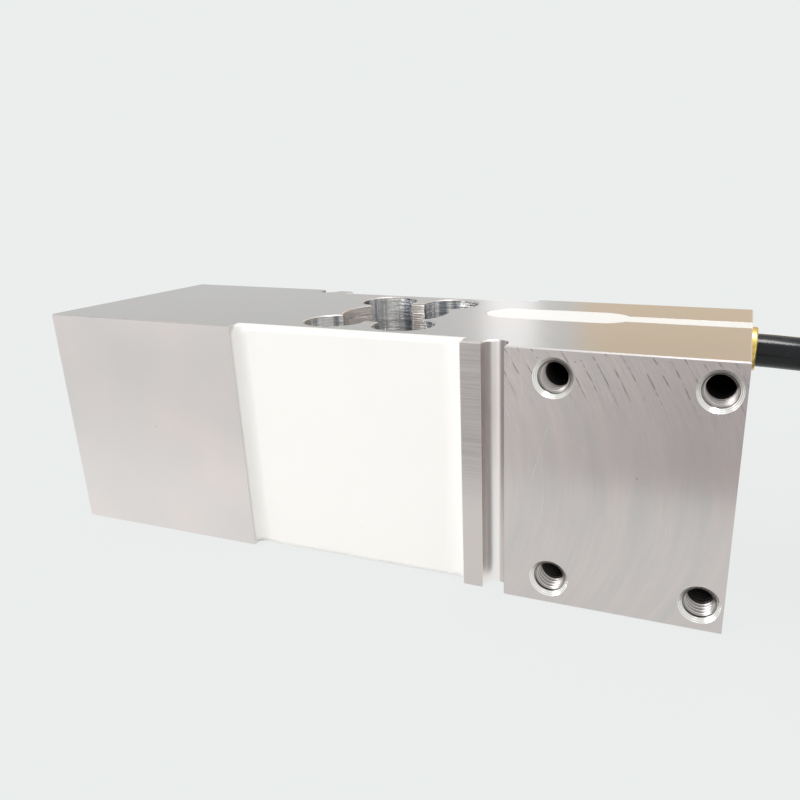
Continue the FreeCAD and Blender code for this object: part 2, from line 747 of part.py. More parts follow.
# ---------------------------------------------------------------- ferrule
def make_ferrule():
    """Turned brass: a thin flange outside the beam and a sleeve in its bore."""
    body = new_body("cable_ferrule")
    inner = "Sizes.cable_radius + Sizes.cable_clearance"
    for name, left, right, radius in (
        ("sleeve", "-Sizes.sleeve_length", "Sizes.flange_thickness", "Sizes.sleeve_radius"),
        ("flange", "0 mm", "Sizes.flange_thickness", "Sizes.flange_radius"),
    ):
        profile = new_sketch(body, "XZ_Plane", f"{name}_profile")
        add_rectangle(profile, left, right, inner, radius)
        turned = body.newObject("PartDesign::Revolution", name)
        turned.Profile = profile
        turned.ReferenceAxis = (plane(body, "X_Axis"), [""])
        turned.Angle = 360
    doc.recompute()
    outer = value("Sizes.flange_radius")
    thickness = value("Sizes.flange_thickness")
    rounded = body.newObject("PartDesign::Fillet", "flange_rounding")
    names = edges_where(
        turned.Shape,
        lambda e: abs(e.BoundBox.XMin - thickness) < 1e-4
        and abs(e.BoundBox.ZMax - outer) < 1e-3,
    )
    rounded.Base = (turned, names)
    rounded.setExpression("Radius", "Sizes.flange_rounding")
    body.setExpression("Placement.Base.x", HALF)
    body.setExpression("Placement.Base.y", "Sizes.channel_y")
    body.setExpression("Placement.Base.z", CABLE_Z)
    nodes.append(body)


# ---------------------------------------------------------------- cable
def add_cord(label, shape):
    """A piece of the cable. It keeps its place from the beam's end."""
    add_shape(label, shape).setExpression("Placement.Base.x", CORD_SHIFT)


def report_radii(label, length, radii):
    shown = ", ".join(f"{r:.1f}" for r in radii)
    smallest = min(radii) / (2 * size("cable_radius"))
    print(f"{label}: {length:.1f} mm long, arc radii {shown} mm, least {smallest:.1f} diameters")


def make_cable_runs():
    total = 0
    for label, route in (("cable_lead", ROUTE_TO_HANK), ("cable_tail", ROUTE_TO_END)):
        solid, length, radii = round_tube(route, size("cable_radius"))
        add_cord(label, solid)
        report_radii(label, length, radii)
        total += length
    return total


def stub(name, base, direction, length):
    """A short straight length of cable that stands out of the hank's outer shape."""
    cylinder = doc.addObject("Part::Cylinder", name)
    cylinder.setExpression("Radius", "Sizes.cable_radius")
    cylinder.Height = length
    cylinder.Placement = FreeCAD.Placement(
        base, FreeCAD.Rotation(Vector(0, 0, 1), direction)
    )
    return cylinder


def make_hank():
    """The spare cable's outer shape: two turns wide, three high, with straight sides."""
    body = new_body("hank_winding")
    left = "Sizes.hank_start + Sizes.hank_inner_radius + 3 * Sizes.cable_radius"
    right = f"{left} + Sizes.hank_straight"
    outline = new_sketch(body, "XY_Plane", "hank_outline", "Sizes.tie_thickness")
    middle = "0 * Sizes.hank_start"
    add_stadium(outline, left, right, middle,
                "Sizes.hank_inner_radius + 3 * Sizes.cable_radius")
    add_stadium(outline, left, right, middle,
                "Sizes.hank_inner_radius - Sizes.cable_radius")
    wound = pad(body, outline, "hank_height", "2 * Sizes.hank_layers * Sizes.cable_radius")
    doc.recompute()
    rounded = body.newObject("PartDesign::Fillet", "hank_rounding")
    low, high = wound.Shape.BoundBox.ZMin, wound.Shape.BoundBox.ZMax
    rounded.Base = (
        wound,
        edges_where(wound.Shape, lambda e: lies_at_z(e, low) or lies_at_z(e, high)),
    )
    rounded.setExpression("Radius", "0.9 * Sizes.cable_radius")

    down = (ROUTE_TO_HANK[-1] - ROUTE_TO_HANK[-2]).normalize()
    out = (ROUTE_TO_END[1] - ROUTE_TO_END[0]).normalize()
    hank = doc.addObject("Part::MultiFuse", "cable_hank")
    hank.Label = hank.Name
    hank.Shapes = [
        body,
        stub("stub_down", ROUTE_TO_HANK[-1], down, STUB_DOWN),
        stub("stub_out", ROUTE_TO_END[0] - out * STUB_OUT, out, STUB_OUT),
    ]
    hank.setExpression("Placement.Base.x", CORD_SHIFT)
    nodes.append(hank)


def make_tie(label, x, side):
    """A cable tie round one straight side of the hank, its head on top."""
    body = new_body(label)
    half_wide = "2 * Sizes.cable_radius"
    half_high = "Sizes.hank_layers * Sizes.cable_radius"
    out_wide = f"({half_wide} + Sizes.tie_thickness)"
    out_high = f"({half_high} + Sizes.tie_thickness)"
    band = new_sketch(body, "YZ_Plane", f"{label}_band", "-Sizes.tie_width / 2")
    add_rectangle(band, f"-{out_wide}", out_wide, f"-{out_high}", out_high)
    add_rectangle(band, f"-{half_wide}", half_wide, f"-{half_high}", half_high)
    strap = pad(body, band, f"{label}_strap", "Sizes.tie_width")
    doc.recompute()
    rounded = body.newObject("PartDesign::Fillet", f"{label}_corners")
    reach = value(out_wide)
    rounded.Base = (
        strap,
        edges_where(
            strap.Shape,
            lambda e: abs(e.BoundBox.XLength - size("tie_width")) < 1e-4
            and abs(abs(e.Vertexes[0].Y) - reach) < 1e-4,
        ),
    )
    rounded.setExpression("Radius", "Sizes.tie_corner")
    head = new_sketch(body, "YZ_Plane", f"{label}_head_outline", "-Sizes.tie_head / 2")
    add_rectangle(head, "-Sizes.tie_head / 2", "Sizes.tie_head / 2",
                  f"{out_high} - Sizes.tie_thickness / 2", f"{out_high} + Sizes.tie_head_height")
    pad(body, head, f"{label}_head", "Sizes.tie_head")
    body.setExpression("Placement.Base.x", f"{CORD_SHIFT} + {x}")
    body.setExpression(
        "Placement.Base.y", f"{side} * (Sizes.hank_inner_radius + Sizes.cable_radius)"
    )
    body.setExpression("Placement.Base.z", f"Sizes.tie_thickness + {half_high}")
    nodes.append(body)


# Each core of the stripped end, and how far it is splayed sideways at its tip.
LEADS = {"lead_green": -6.4, "lead_white": -2.2, "lead_black": 2.4, "lead_red": 6.6}
DRAIN_SPLAY = -9.6
STRIPPED = 20.0  # length of the cores outside the sheath


def make_leads():
    """The cable's stripped end: four cores and the shield's drain wire, on the floor."""
    tip, before = ROUTE_TO_END[-1], ROUTE_TO_END[-2]
    ahead = (tip - before).normalize()
    across = Vector(0, 0, 1).cross(ahead).normalize()
    up = ahead.cross(across)
    off = CORE_SPREAD * size("core_radius")

    def splay(place, z_end, sideways):
        level = Vector(ahead.x, ahead.y, 0).normalize()
        flat = Vector(tip.x, tip.y, z_end)
        return [
            tip + place,
            tip + place + ahead * 5,
            flat + level * 12 + across * (0.55 * sideways),
            flat + level * STRIPPED + across * sideways,
        ]

    for (label, sideways), (side, lift) in zip(LEADS.items(), CORES):
        place = across * (side * off) + up * (lift * off)
        route = splay(place, size("core_radius"), sideways)
        add_cord(label, round_tube(route, size("core_radius"), size("lead_bend"))[0])
    beside = -across * (off + size("core_radius") + size("drain_radius") + 0.1)
    route = splay(beside, size("drain_radius"), DRAIN_SPLAY)
    add_cord("shield_drain", round_tube(route, size("drain_radius"), size("lead_bend"))[0])


# ---------------------------------------------------------------- the whole load cell
def make_all():
    make_beam()
    sealed = {}
    for side in SIDES:
        gauges = [make_gauge(side, 1, -1), make_gauge(side, 2, 1)]
        sealed[side] = gauges + [make_terminals(side), make_gauge_wires(side)]
    board, resistors, cores = make_board(), make_resistors(), make_inner_cores()
    for side in SIDES:
        make_side_potting(side, sealed[side])
    wires = [sealed[side][-1] for side in SIDES]
    make_channel_potting([board, resistors, cores] + wires)
    make_ferrule()
    free = make_cable_runs()
    make_hank()
    for label, (x, side) in TIES_AT.items():
        make_tie(label, x, side)
    make_leads()
    straight = 2 * size("hank_straight")
    mean = size("hank_inner_radius") + size("cable_radius")
    turns = 2 * size("hank_layers") * (straight + 2 * math.pi * mean)
    print(f"cable: {free:.0f} mm free, and at most {turns:.0f} mm wound")


def check_and_write():
    doc.recompute()
    for made in doc.Objects:
        if {"Invalid", "Error"} & set(made.State):
            raise RuntimeError(f"{made.Name} failed: {made.State}")
    os.makedirs("parts", exist_ok=True)
    for node in nodes:
        shape = node.Shape
        if shape.isNull() or not shape.isValid() or not shape.Solids:
            raise RuntimeError(f"{node.Label} has no valid solid")
        shape.exportStep(f"parts/{node.Label}.step")
        print(f"{node.Label}: {len(shape.Solids)} solid(s), {shape.Volume:.2f} cubic mm")


make_all()
check_and_write()
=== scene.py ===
# %% [markdown]
# # A single point load cell
#
# A single point load cell is a milled aluminium beam that bends a little under a weight.
# Four strain gauges under white rubber measure the bend, and a shielded cable carries the
# signal out of one end. The construction model already holds the exact solids. This lesson
# gives them their finishes, and models what a solid modeller leaves plain: the cable's
# winding, the threads, the rubber's poured surface, the ties and the stripped wire ends.
#
# Every length is in metres. The beam runs along X, its mounting face looks towards -Y, and
# the side face with the wiring channel looks up, towards +Z.

# %% Load the construction model
import math

import bmesh
import bpy
from mathutils import Matrix, Quaternion, Vector, noise


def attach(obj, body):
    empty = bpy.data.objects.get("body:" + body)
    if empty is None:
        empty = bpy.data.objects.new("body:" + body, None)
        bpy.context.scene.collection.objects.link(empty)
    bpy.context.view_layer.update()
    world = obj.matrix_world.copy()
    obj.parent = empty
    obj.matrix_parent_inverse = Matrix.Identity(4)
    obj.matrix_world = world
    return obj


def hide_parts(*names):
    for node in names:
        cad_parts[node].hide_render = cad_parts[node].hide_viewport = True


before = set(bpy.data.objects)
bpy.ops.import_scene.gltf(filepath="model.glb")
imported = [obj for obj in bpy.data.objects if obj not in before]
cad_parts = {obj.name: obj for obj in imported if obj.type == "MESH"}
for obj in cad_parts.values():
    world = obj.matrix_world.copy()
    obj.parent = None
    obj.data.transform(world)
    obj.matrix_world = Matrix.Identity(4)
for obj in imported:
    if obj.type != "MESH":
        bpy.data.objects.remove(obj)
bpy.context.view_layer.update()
MM = 0.001
print("pieces in the construction model:", len(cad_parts))

# %% [markdown]
# ## The camera
#
# The camera stands close to the part and a little above it, so that the mounting face and
# the top are both seen and the beam narrows towards its far end. It could be placed by eye,
# but a place, a direction and a lens in numbers can be checked: here the lens is 32.5 mm on
# a 36 mm sensor, 20 degrees round from the mounting face and 19 degrees up.

# %% Place the camera
CAMERA_PLACE = Vector((0.072585, -0.144915, 0.078765))
CAMERA_ROUND = math.radians(20.386)
CAMERA_UP = math.radians(18.709)
CAMERA_ROLL = math.radians(-0.742)
LENS_LENGTH = 32.47  # this and the sensor are in millimetres
SENSOR_WIDTH = 36
LENS_SHIFT = (-0.095, 0.0279)

backwards = Vector(
    (
        math.sin(CAMERA_ROUND) * math.cos(CAMERA_UP),
        -math.cos(CAMERA_ROUND) * math.cos(CAMERA_UP),
        math.sin(CAMERA_UP),
    )
)
lens = bpy.data.cameras.new("studio_lens")
lens.lens = LENS_LENGTH
lens.sensor_width = SENSOR_WIDTH
lens.shift_x, lens.shift_y = LENS_SHIFT
lens.clip_start = 0.01
camera = bpy.data.objects.new("studio_camera", lens)
camera.rotation_mode = "QUATERNION"
camera.location = CAMERA_PLACE
level = backwards.to_track_quat("Z", "Y")
camera.rotation_quaternion = Quaternion(backwards, CAMERA_ROLL) @ level
bpy.context.scene.collection.objects.link(camera)
bpy.context.scene.camera = camera
print("camera looks along", [round(-x, 3) for x in backwards])

# %% [markdown]
# ## The cable
#
# The real cable is 6.6 mm thick, black and fairly stiff. It leaves the brass ferrule
# straight and comes down onto the long hank that it is put away in: three layers of two
# turns, with one tie on each side. Its bare end lies inside the hank, on the bench.
#
# A cable could be swept as a mesh, but a curve with a round bevel keeps its thickness
# everywhere, and its points are few. Straight parts need only their corner points. The
# turns are worked out by a loop: each turn goes once round a stadium shape, and where it
# climbs or moves inwards it does so over a few points, smoothly.

# %% The way round one turn
CABLE_DIAMETER = 6.6 * MM
NEAR_BEND = 121.9 * MM
FAR_BEND = 174.9 * MM
INNER, OUTER = 20.0 * MM, 26.6 * MM
LOW, MIDDLE, HIGH = 4.5 * MM, 11.1 * MM, 17.7 * MM
RUN = FAR_BEND - NEAR_BEND
MEAN = (INNER + OUTER) / 2
TURN = 2 * RUN + 2 * math.pi * MEAN
POINTS_A_TURN = 40
HALF_STEP = TURN / POINTS_A_TURN / MEAN / 2


def on_turn(travel, radius, height):
    """A point of the hank, travel metres from where the first straight run begins."""
    rest = travel % TURN
    bend = math.pi * MEAN
    if rest < RUN:
        return Vector((NEAR_BEND + rest, radius, height))
    if RUN + bend < rest < 2 * RUN + bend:
        return Vector((FAR_BEND + RUN + bend - rest, -radius, height))
    middle, side, run_in = (FAR_BEND, 1, RUN)
    if rest > RUN + bend:
        middle, side, run_in = (NEAR_BEND, -1, 2 * RUN + bend)
    angle = (rest - run_in) / MEAN
    outside = radius / math.cos(HALF_STEP)
    x = middle + side * outside * math.sin(angle)
    return Vector((x, side * outside * math.cos(angle), height))


print("one turn is", round(TURN, 4), "m long")

# %% Wind the hank
CHANGES = [  # where each change starts, its length, the radius and height it leads to
    (252.0 * MM, 29 * MM, INNER, HIGH),
    (468.4 * MM, 36 * MM, INNER, MIDDLE),
    (698.8 * MM, 40 * MM, OUTER, MIDDLE),
    (922.2 * MM, 29 * MM, OUTER, LOW),
    (1145.6 * MM, 29 * MM, INNER, LOW),
]
FIRST_TRAVEL = 46.1 * MM
LAST_TRAVEL = RUN + math.pi * MEAN - 4 * MM + 5 * TURN
SWAY = 0.05 * MM  # the turns are never laid quite evenly


def smooth(x):
    x = min(max(x, 0.0), 1.0)
    return x * x * (3 - 2 * x)


def turn_at(travel):
    """The turn's radius and height after so much cable."""
    radius, height = OUTER, HIGH
    for start, length, next_radius, next_height in CHANGES:
        part = smooth((travel - start) / length)
        radius += (next_radius - radius) * part
        height += (next_height - height) * part
    return radius, height


steps = round((LAST_TRAVEL - FIRST_TRAVEL) / TURN * POINTS_A_TURN)
hank_points = []
for step in range(steps + 1):
    travel = FIRST_TRAVEL + (LAST_TRAVEL - FIRST_TRAVEL) * step / steps
    radius, height = turn_at(travel)
    sway = SWAY * (math.sin(0.35 * step) - 1)
    hank_points.append(on_turn(travel, radius + sway, height))
print("points in the hank:", len(hank_points))

# %% The whole route as one smooth line
ROUTE_TO_HANK = [
    Vector((0.0620, 0.0056, 0.0460)),
    Vector((0.0990, 0.0056, 0.0460)),
    Vector((0.1270, 0.0266, 0.0326)),
    Vector((0.1500, 0.0266, 0.02425)),
]
ROUTE_TO_END = [
    Vector((0.1724, -0.0203, 0.0045)),
    Vector((0.1669, -0.0193, 0.0045)),
    Vector((0.1616, -0.0167, 0.0045)),
    Vector((0.1548, -0.0119, 0.0045)),
    Vector((0.1457, -0.00605, 0.0045)),
    Vector((0.1356, -0.00325, 0.0039)),
]


def finish_named(name):
    """The material of that name, made empty when it is first asked for."""
    return bpy.data.materials.get(name) or bpy.data.materials.new(name)


def smooth_cord(name, points, diameter, finish="black_pvc_sheath"):
    """One open smooth line with a round section. A curve gets its finish at once,
    because its box is measured wrongly when one is added later."""
    curve = bpy.data.curves.new(name, "CURVE")
    curve.materials.append(finish_named(finish))
    curve.dimensions = "3D"
    curve.bevel_depth = diameter / 2
    curve.bevel_resolution = 6
    curve.use_fill_caps = True
    curve.resolution_u = 8
    spline = curve.splines.new("NURBS")
    spline.points.add(len(points) - 1)
    for target, place in zip(spline.points, points):
        target.co = (*place, 1.0)
    spline.order_u = 3
    spline.use_endpoint_u = True
    cord = bpy.data.objects.new(name, curve)
    bpy.context.scene.collection.objects.link(cord)
    return cord


def line_length(curve_object):
    """Length of a curve's own line, without its thickness."""
    bare = curve_object.copy()
    bare.data = curve_object.data.copy()
    bare.data.bevel_depth = 0.0
    mesh = bpy.data.meshes.new_from_object(bare)
    ends = [mesh.vertices[i].co for edge in mesh.edges for i in edge.vertices]
    total = sum((a - b).length for a, b in zip(ends[0::2], ends[1::2]))
    bpy.data.objects.remove(bare)
    return total


cable = smooth_cord("cable", ROUTE_TO_HANK + hank_points + ROUTE_TO_END, CABLE_DIAMETER)
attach(cable, "root")
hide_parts("cable_lead", "cable_hank", "cable_tail")
cable_length = line_length(cable)
print("cable length:", round(cable_length, 4), "m")

# %% [markdown]
# ## The cable ties
#
# Two black nylon ties hold the hank. A tie is a flat strap that goes round the bundle and
# back through a square head, and its spare end is cut off short. The strap could be a curve
# with a flat section, but its corners would twist. Here one rectangle with rounded corners
# is inset, its middle is taken out, and the ring that is left is drawn out to the width.

# %% Helpers for hard pieces
def box_in(mesh, low, high):
    """Add a box between two corners and return its edges."""
    middle = (high + low) / 2
    shape = Matrix.Translation(middle) @ Matrix.Diagonal((*(high - low), 1))
    corners = bmesh.ops.create_cube(mesh, size=1, matrix=shape)["verts"]
    return list({edge for corner in corners for edge in corner.link_edges})


def bevelled(mesh, geometry, width, segments=3, affect="EDGES"):
    bmesh.ops.bevel(
        mesh,
        geom=geometry,
        offset=width,
        offset_type="OFFSET",
        affect=affect,
        segments=segments,
        profile=0.5,
        material=-1,
        clamp_overlap=True,
    )


def finished(mesh, name, sharp=40):
    """Make an object of a bmesh, with its faces outwards and its corners crisp."""
    bmesh.ops.remove_doubles(mesh, verts=mesh.verts, dist=0.001 * MM)
    bmesh.ops.recalc_face_normals(mesh, faces=mesh.faces)
    data = bpy.data.meshes.new(name)
    mesh.to_mesh(data)
    mesh.free()
    data.shade_smooth()
    data.set_sharp_from_angle(angle=math.radians(sharp))
    piece = bpy.data.objects.new(name, data)
    bpy.context.scene.collection.objects.link(piece)
    return piece


def stands_for(piece, finish, *nodes):
    """The piece rides on the load cell and replaces CAD nodes. The finish argument is not
    used.
    """
    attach(piece, "root")
    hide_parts(*nodes)
    return piece


print("boxes, bevels and finished pieces can be made")

# %% Build the cable ties
STRAP_WIDTH = 3.6 * MM
STRAP_THICKNESS = 1.2 * MM
BUNDLE_HALF_WIDTH = CABLE_DIAMETER
BUNDLE_HALF_HEIGHT = 1.5 * CABLE_DIAMETER
STRAP_CORNER = 1.7 * MM
STRAP_RIM = 0.25 * MM


def strap_ring(mesh):
    """A rounded rectangular ring in the YZ plane, drawn out along X."""
    half_y = BUNDLE_HALF_WIDTH + STRAP_THICKNESS
    half_z = BUNDLE_HALF_HEIGHT + STRAP_THICKNESS
    stand = Matrix.Rotation(math.radians(-90), 4, "Y")
    to_one_side = Matrix.Translation((-STRAP_WIDTH / 2, 0, 0))
    shape = to_one_side @ stand @ Matrix.Diagonal((half_z, half_y, 1, 1))
    corners = bmesh.ops.create_grid(
        mesh, x_segments=1, y_segments=1, size=1, matrix=shape
    )["verts"]
    bevelled(mesh, corners, STRAP_CORNER, 6, "VERTICES")
    middle = list(mesh.faces)
    bmesh.ops.inset_region(
        mesh, faces=middle, thickness=STRAP_THICKNESS, use_boundary=True
    )
    bmesh.ops.delete(mesh, geom=middle, context="FACES_ONLY")
    drawn = bmesh.ops.extrude_face_region(mesh, geom=list(mesh.faces))["geom"]
    moved = [part for part in drawn if isinstance(part, bmesh.types.BMVert)]
    bmesh.ops.translate(mesh, verts=moved, vec=(STRAP_WIDTH, 0, 0))
    rims = [e for e in mesh.edges if abs(e.verts[0].co.x - e.verts[1].co.x) < MM / 100]
    bevelled(mesh, rims, STRAP_RIM, 2)


# The head and the cut end, in millimetres: low corner, high corner, bevel, segments.
# Heights count from the top of the strap.
TIE_HEAD = [
    ((-2.55, -2.55, -1.0), (-1.85, 2.55, 2.95), 0.28, 3),  # one cheek
    ((1.85, -2.55, -1.0), (2.55, 2.55, 2.95), 0.28, 3),  # the other cheek
    ((-2.0, -2.45, 1.75), (2.0, 2.45, 2.95), 0.28, 3),  # roof over the slot
    ((-1.3, -0.9, 1.2), (1.3, 1.9, 2.2), 0.20, 3),  # pawl that holds the teeth
    ((-1.7, -2.9, 0.0), (1.7, 4.6, 1.1), 0.15, 3),  # the strap's cut end
]
TEETH = 7
for tooth in range(TEETH):
    start = -2.4 + 0.95 * tooth
    TIE_HEAD.append(((-1.2, start, 1.0), (1.2, start + 0.5, 1.28), 0.08, 1))


def make_tie(name, along, side):
    """The strap, the head with its slot, and the cut end with its teeth."""
    mesh = bmesh.new()
    strap_ring(mesh)
    strap_top = Vector((0, 0, BUNDLE_HALF_HEIGHT + STRAP_THICKNESS))
    for low, high, bevel, segments in TIE_HEAD:
        block = box_in(mesh, Vector(low) * MM + strap_top, Vector(high) * MM + strap_top)
        bevelled(mesh, block, bevel * MM, segments)
    middle = (along, side * MEAN, STRAP_THICKNESS + BUNDLE_HALF_HEIGHT)
    bmesh.ops.translate(mesh, verts=mesh.verts, vec=middle)
    return stands_for(finished(mesh, "moulded_" + name), "tie_nylon", name)


ties = [make_tie("cable_tie_1", 0.128, 1), make_tie("cable_tie_2", 0.140, -1)]
print("cable ties:", [tie.name for tie in ties])

# %% [markdown]
# ## The stripped wire ends
#
# Four insulated cores and the bare drain wire come out of the cut sheath and lie splayed on
# the bench. Each core ends in a few millimetres of twisted, tinned strands. A core's line is
# the same kind of smooth line as the cable's. Its strands are found from that line: six of
# them wind round a seventh, a fixed distance from it, a full turn every four millimetres.

# %% Lay out the cores
CORE_RADIUS = 0.65 * MM
DRAIN_RADIUS = 0.45 * MM
INSULATED_SHARE = 0.74
CORE_SPREAD = 1.3 * CORE_RADIUS  # from the cable's axis to a core's, sideways and up
STRAND_STEP = 0.25 * MM
STRAND_LAY = 4 * MM  # length of a full turn of the strands
core_tip = ROUTE_TO_END[-1]
ahead = (core_tip - ROUTE_TO_END[-2]).normalized()
across = Vector((0, 0, 1)).cross(ahead).normalized()
upwards = ahead.cross(across)
level_ahead = Vector((ahead.x, ahead.y, 0)).normalized()


def splayed(beside, radius, sideways):
    """The four points of one core, from inside the sheath's cut end to its own tip."""
    floor_point = Vector((core_tip.x, core_tip.y, radius))
    return [
        core_tip + beside,
        core_tip + beside + ahead * 5 * MM,
        floor_point + level_ahead * 12 * MM + across * 0.55 * sideways,
        floor_point + level_ahead * 20 * MM + across * sideways,
    ]


def centre_line(points, spacing):
    """Evenly spaced points read from the smooth line through a route's points."""
    curve_object = smooth_cord("line", points, 0)
    curve_object.data.resolution_u = 24
    mesh = bpy.data.meshes.new_from_object(curve_object)
    line = [vertex.co.copy() for vertex in mesh.vertices]
    bpy.data.objects.remove(curve_object)
    even, left = [line[0]], spacing
    for start, end in zip(line, line[1:]):
        length = (end - start).length
        while left <= length:
            even.append(start.lerp(end, left / length))
            left += spacing
        left -= length
    return even


print("cores point along", [round(x, 2) for x in level_ahead])

# %% Make the insulated cores, the strands and the drain wire
def twisted(name, line, reach, strand):
    """Six strands round a seventh, along a line."""
    curve = bpy.data.curves.new(name, "CURVE")
    curve.materials.append(finish_named("tinned_strands"))
    curve.dimensions = "3D"
    curve.bevel_depth = strand
    curve.bevel_resolution = 2
    curve.use_fill_caps = True
    for number in range(7):
        spline = curve.splines.new("POLY")
        spline.points.add(len(line) - 1)
        for step, target in enumerate(spline.points):
            follow = line[min(step + 1, len(line) - 1)] - line[max(step - 1, 0)]
            follow.normalize()
            side = follow.cross(Vector((0, 0, 1))).normalized()
            angle = math.radians(60 * number + 360 * step * STRAND_STEP / STRAND_LAY)
            away = side * math.cos(angle) + follow.cross(side) * math.sin(angle)
            target.co = (*(line[step] + away * (reach if number else 0)), 1)
    bundle = bpy.data.objects.new(name, curve)
    bpy.context.scene.collection.objects.link(bundle)
    return bundle


def make_core(colour, sideways, side, lift):
    beside = across * side * CORE_SPREAD + upwards * lift * CORE_SPREAD
    route = splayed(beside, CORE_RADIUS, sideways * MM)
    finish = colour + "_insulation"
    sleeve = smooth_cord(colour + "_core", route, 2 * CORE_RADIUS, finish)
    sleeve.data.resolution_u = 16
    sleeve.data.bevel_factor_mapping_end = "SPLINE"
    sleeve.data.bevel_factor_end = INSULATED_SHARE
    stands_for(sleeve, colour + "_core", "lead_" + colour)
    line = centre_line(route, STRAND_STEP)
    bare = line[round(len(line) * (INSULATED_SHARE - 0.06)) :]
    strands = twisted(colour + "_core_strands", bare, 0.27 * MM, 0.14 * MM)
    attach(strands, "root")
    return [sleeve, strands]


CORE_PLACES = {  # how far each is splayed, in millimetres, and its place in the sheath
    "green": (-6.4, -1, 1),
    "white": (-2.2, -1, -1),
    "black": (2.4, 1, -1),
    "red": (6.6, 1, 1),
}
cores = []
for colour, place in CORE_PLACES.items():
    cores += make_core(colour, *place)
drain_side = -across * (CORE_SPREAD + CORE_RADIUS + DRAIN_RADIUS + 0.1 * MM)
drain_line = centre_line(splayed(drain_side, DRAIN_RADIUS, -9.6 * MM), STRAND_STEP)
drain = twisted("shield_drain_strands", drain_line, 0.29 * MM, 0.155 * MM)
stands_for(drain, "tinned_copper", "shield_drain")
cores.append(drain)
print("pieces at the stripped end:", len(cores))

# %% [markdown]
# ## The threads
#
# Eight M6 holes are tapped 15 mm deep, four in each pad. The construction model bores them
# at the thread's outer diameter, so the ridges can be added here. A boolean cut of a helix
# is slow and fragile. A ridge is simply one small section, spun round the hole's axis and
# moved 1 mm along it for each turn. Its outer edge goes a hair into the metal, and where it
# starts, in the countersink, it runs out into the cone.

# %% Cut the threads
THREAD_PITCH = 1.0 * MM
THREAD_STEPS = 24
THREAD_TURNS = 13.7
THREAD_START = 0.45 * MM  # depth of the first ridge
# Four corners of a ridge's section: distance from the hole's axis, and rise, in millimetres.
RIDGE = ((3.04, -0.43), (2.56, -0.07), (2.56, 0.07), (3.04, 0.43))
HOLE_X = (70.7 * MM, 42.7 * MM)
HOLE_Z = (5.3 * MM, 45.3 * MM)
PAD_FACE = 25.6 * MM
MOUTH_RADIUS = 3.9 * MM  # of the countersink, at the pad's face


def thread_ridge(mesh, x, z, inwards):
    """One helical ridge. inwards is +1 for a hole in the mounting face, -1 in the other."""
    section = []
    for radius, rise in RIDGE:
        depth = THREAD_START + rise * MM
        place = (x + radius * MM, inwards * (depth - PAD_FACE), z)
        section.append(mesh.verts.new(place))
    face = mesh.faces.new(section)
    before = set(mesh.verts) - set(section)
    steps = round(THREAD_TURNS * THREAD_STEPS)
    bmesh.ops.spin(
        mesh,
        geom=[face, *face.verts, *face.edges],
        cent=(x, 0, z),
        axis=(0, inwards, 0),
        dvec=(0, inwards * THREAD_PITCH / THREAD_STEPS, 0),
        angle=math.radians(360 * steps / THREAD_STEPS),
        steps=steps,
        use_merge=False,
    )
    for vertex in set(mesh.verts) - before:
        depth = vertex.co.y * inwards + PAD_FACE
        sunk = MOUTH_RADIUS - depth + 0.03 * MM  # just inside the countersink's cone
        away = Vector((vertex.co.x - x, 0, vertex.co.z - z))
        away.length = max(away.length, sunk)
        vertex.co.x, vertex.co.z = x + away.x, z + away.z


for end, inwards in (("mounting", 1), ("loading", -1)):
    mesh = bmesh.new()
    for hole_x in HOLE_X:
        for hole_z in HOLE_Z:
            thread_ridge(mesh, inwards * hole_x, hole_z, inwards)
    threads = finished(mesh, end + "_threads", 30)
    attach(threads, "root")
    print(threads.name, "faces:", len(threads.data.polygons))

# %% [markdown]
# ## The poured rubber
#
# White silicone is poured over the gauges and levelled by hand. It keeps a flat middle,
# creeps up the recess walls at both ends, and rounds over where it meets the open sides.
# A plain extrusion looks machined, so the surface is a fine grid whose points are lifted by
# that profile, with a slow unevenness added. Then its rim is drawn back to the recess floor.

# %% Pour the rubber over the gauges
RECESS_NEAR = 24.8 * MM
RECESS_FAR = -26.2 * MM
RECESS_FLOOR = 21.2 * MM
BEAM_HEIGHT = 50.6 * MM
RUBBER_DEPTH = 1.6 * MM
CREEP_RISE = 1.7 * MM
CREEP_NEAR = 4.5 * MM
CREEP_FAR = 3.1 * MM
ROUNDING = 1.35 * MM
THINNEST = 0.15 * MM
GRID_X, GRID_Z = 110, 120


def creep(from_wall, run):
    """How far the rubber has climbed at a distance from a wall."""
    inside = max(run - from_wall, 0.0)
    radius = (run**2 + CREEP_RISE**2) / (2 * CREEP_RISE)
    return radius - math.sqrt(radius**2 - inside**2)


def uneven(x, z, seed, wavelength):
    return noise.noise(Vector((x / wavelength, seed, z / wavelength)))


def rubber_height(x, z, seed):
    """Height of the rubber over the recess floor."""
    height = RUBBER_DEPTH + 0.035 * MM * uneven(x, z, seed, 14 * MM)
    height += creep(RECESS_NEAR - x, CREEP_NEAR * (1 + 0.1 * uneven(0, z, seed, 9 * MM)))
    height += creep(x - RECESS_FAR, CREEP_FAR * (1 + 0.12 * uneven(9, z, seed, 8 * MM)))
    from_side = min(z, BEAM_HEIGHT - z)
    rounding = ROUNDING * (1 + 0.22 * uneven(x, 7 * z, seed, 6 * MM))
    corner = min(RECESS_NEAR - x, x - RECESS_FAR)
    rounding *= 1 + 0.9 * smooth(1 - corner / (4 * MM))
    if from_side < rounding:
        over = rounding - from_side
        height -= rounding - math.sqrt(max(rounding**2 - over**2, 0.0))
    return max(height, THINNEST)


def crowded(share):
    """A share from 0 to 1, with more steps near both ends."""
    return share - 0.11 * math.sin(2 * math.pi * share)


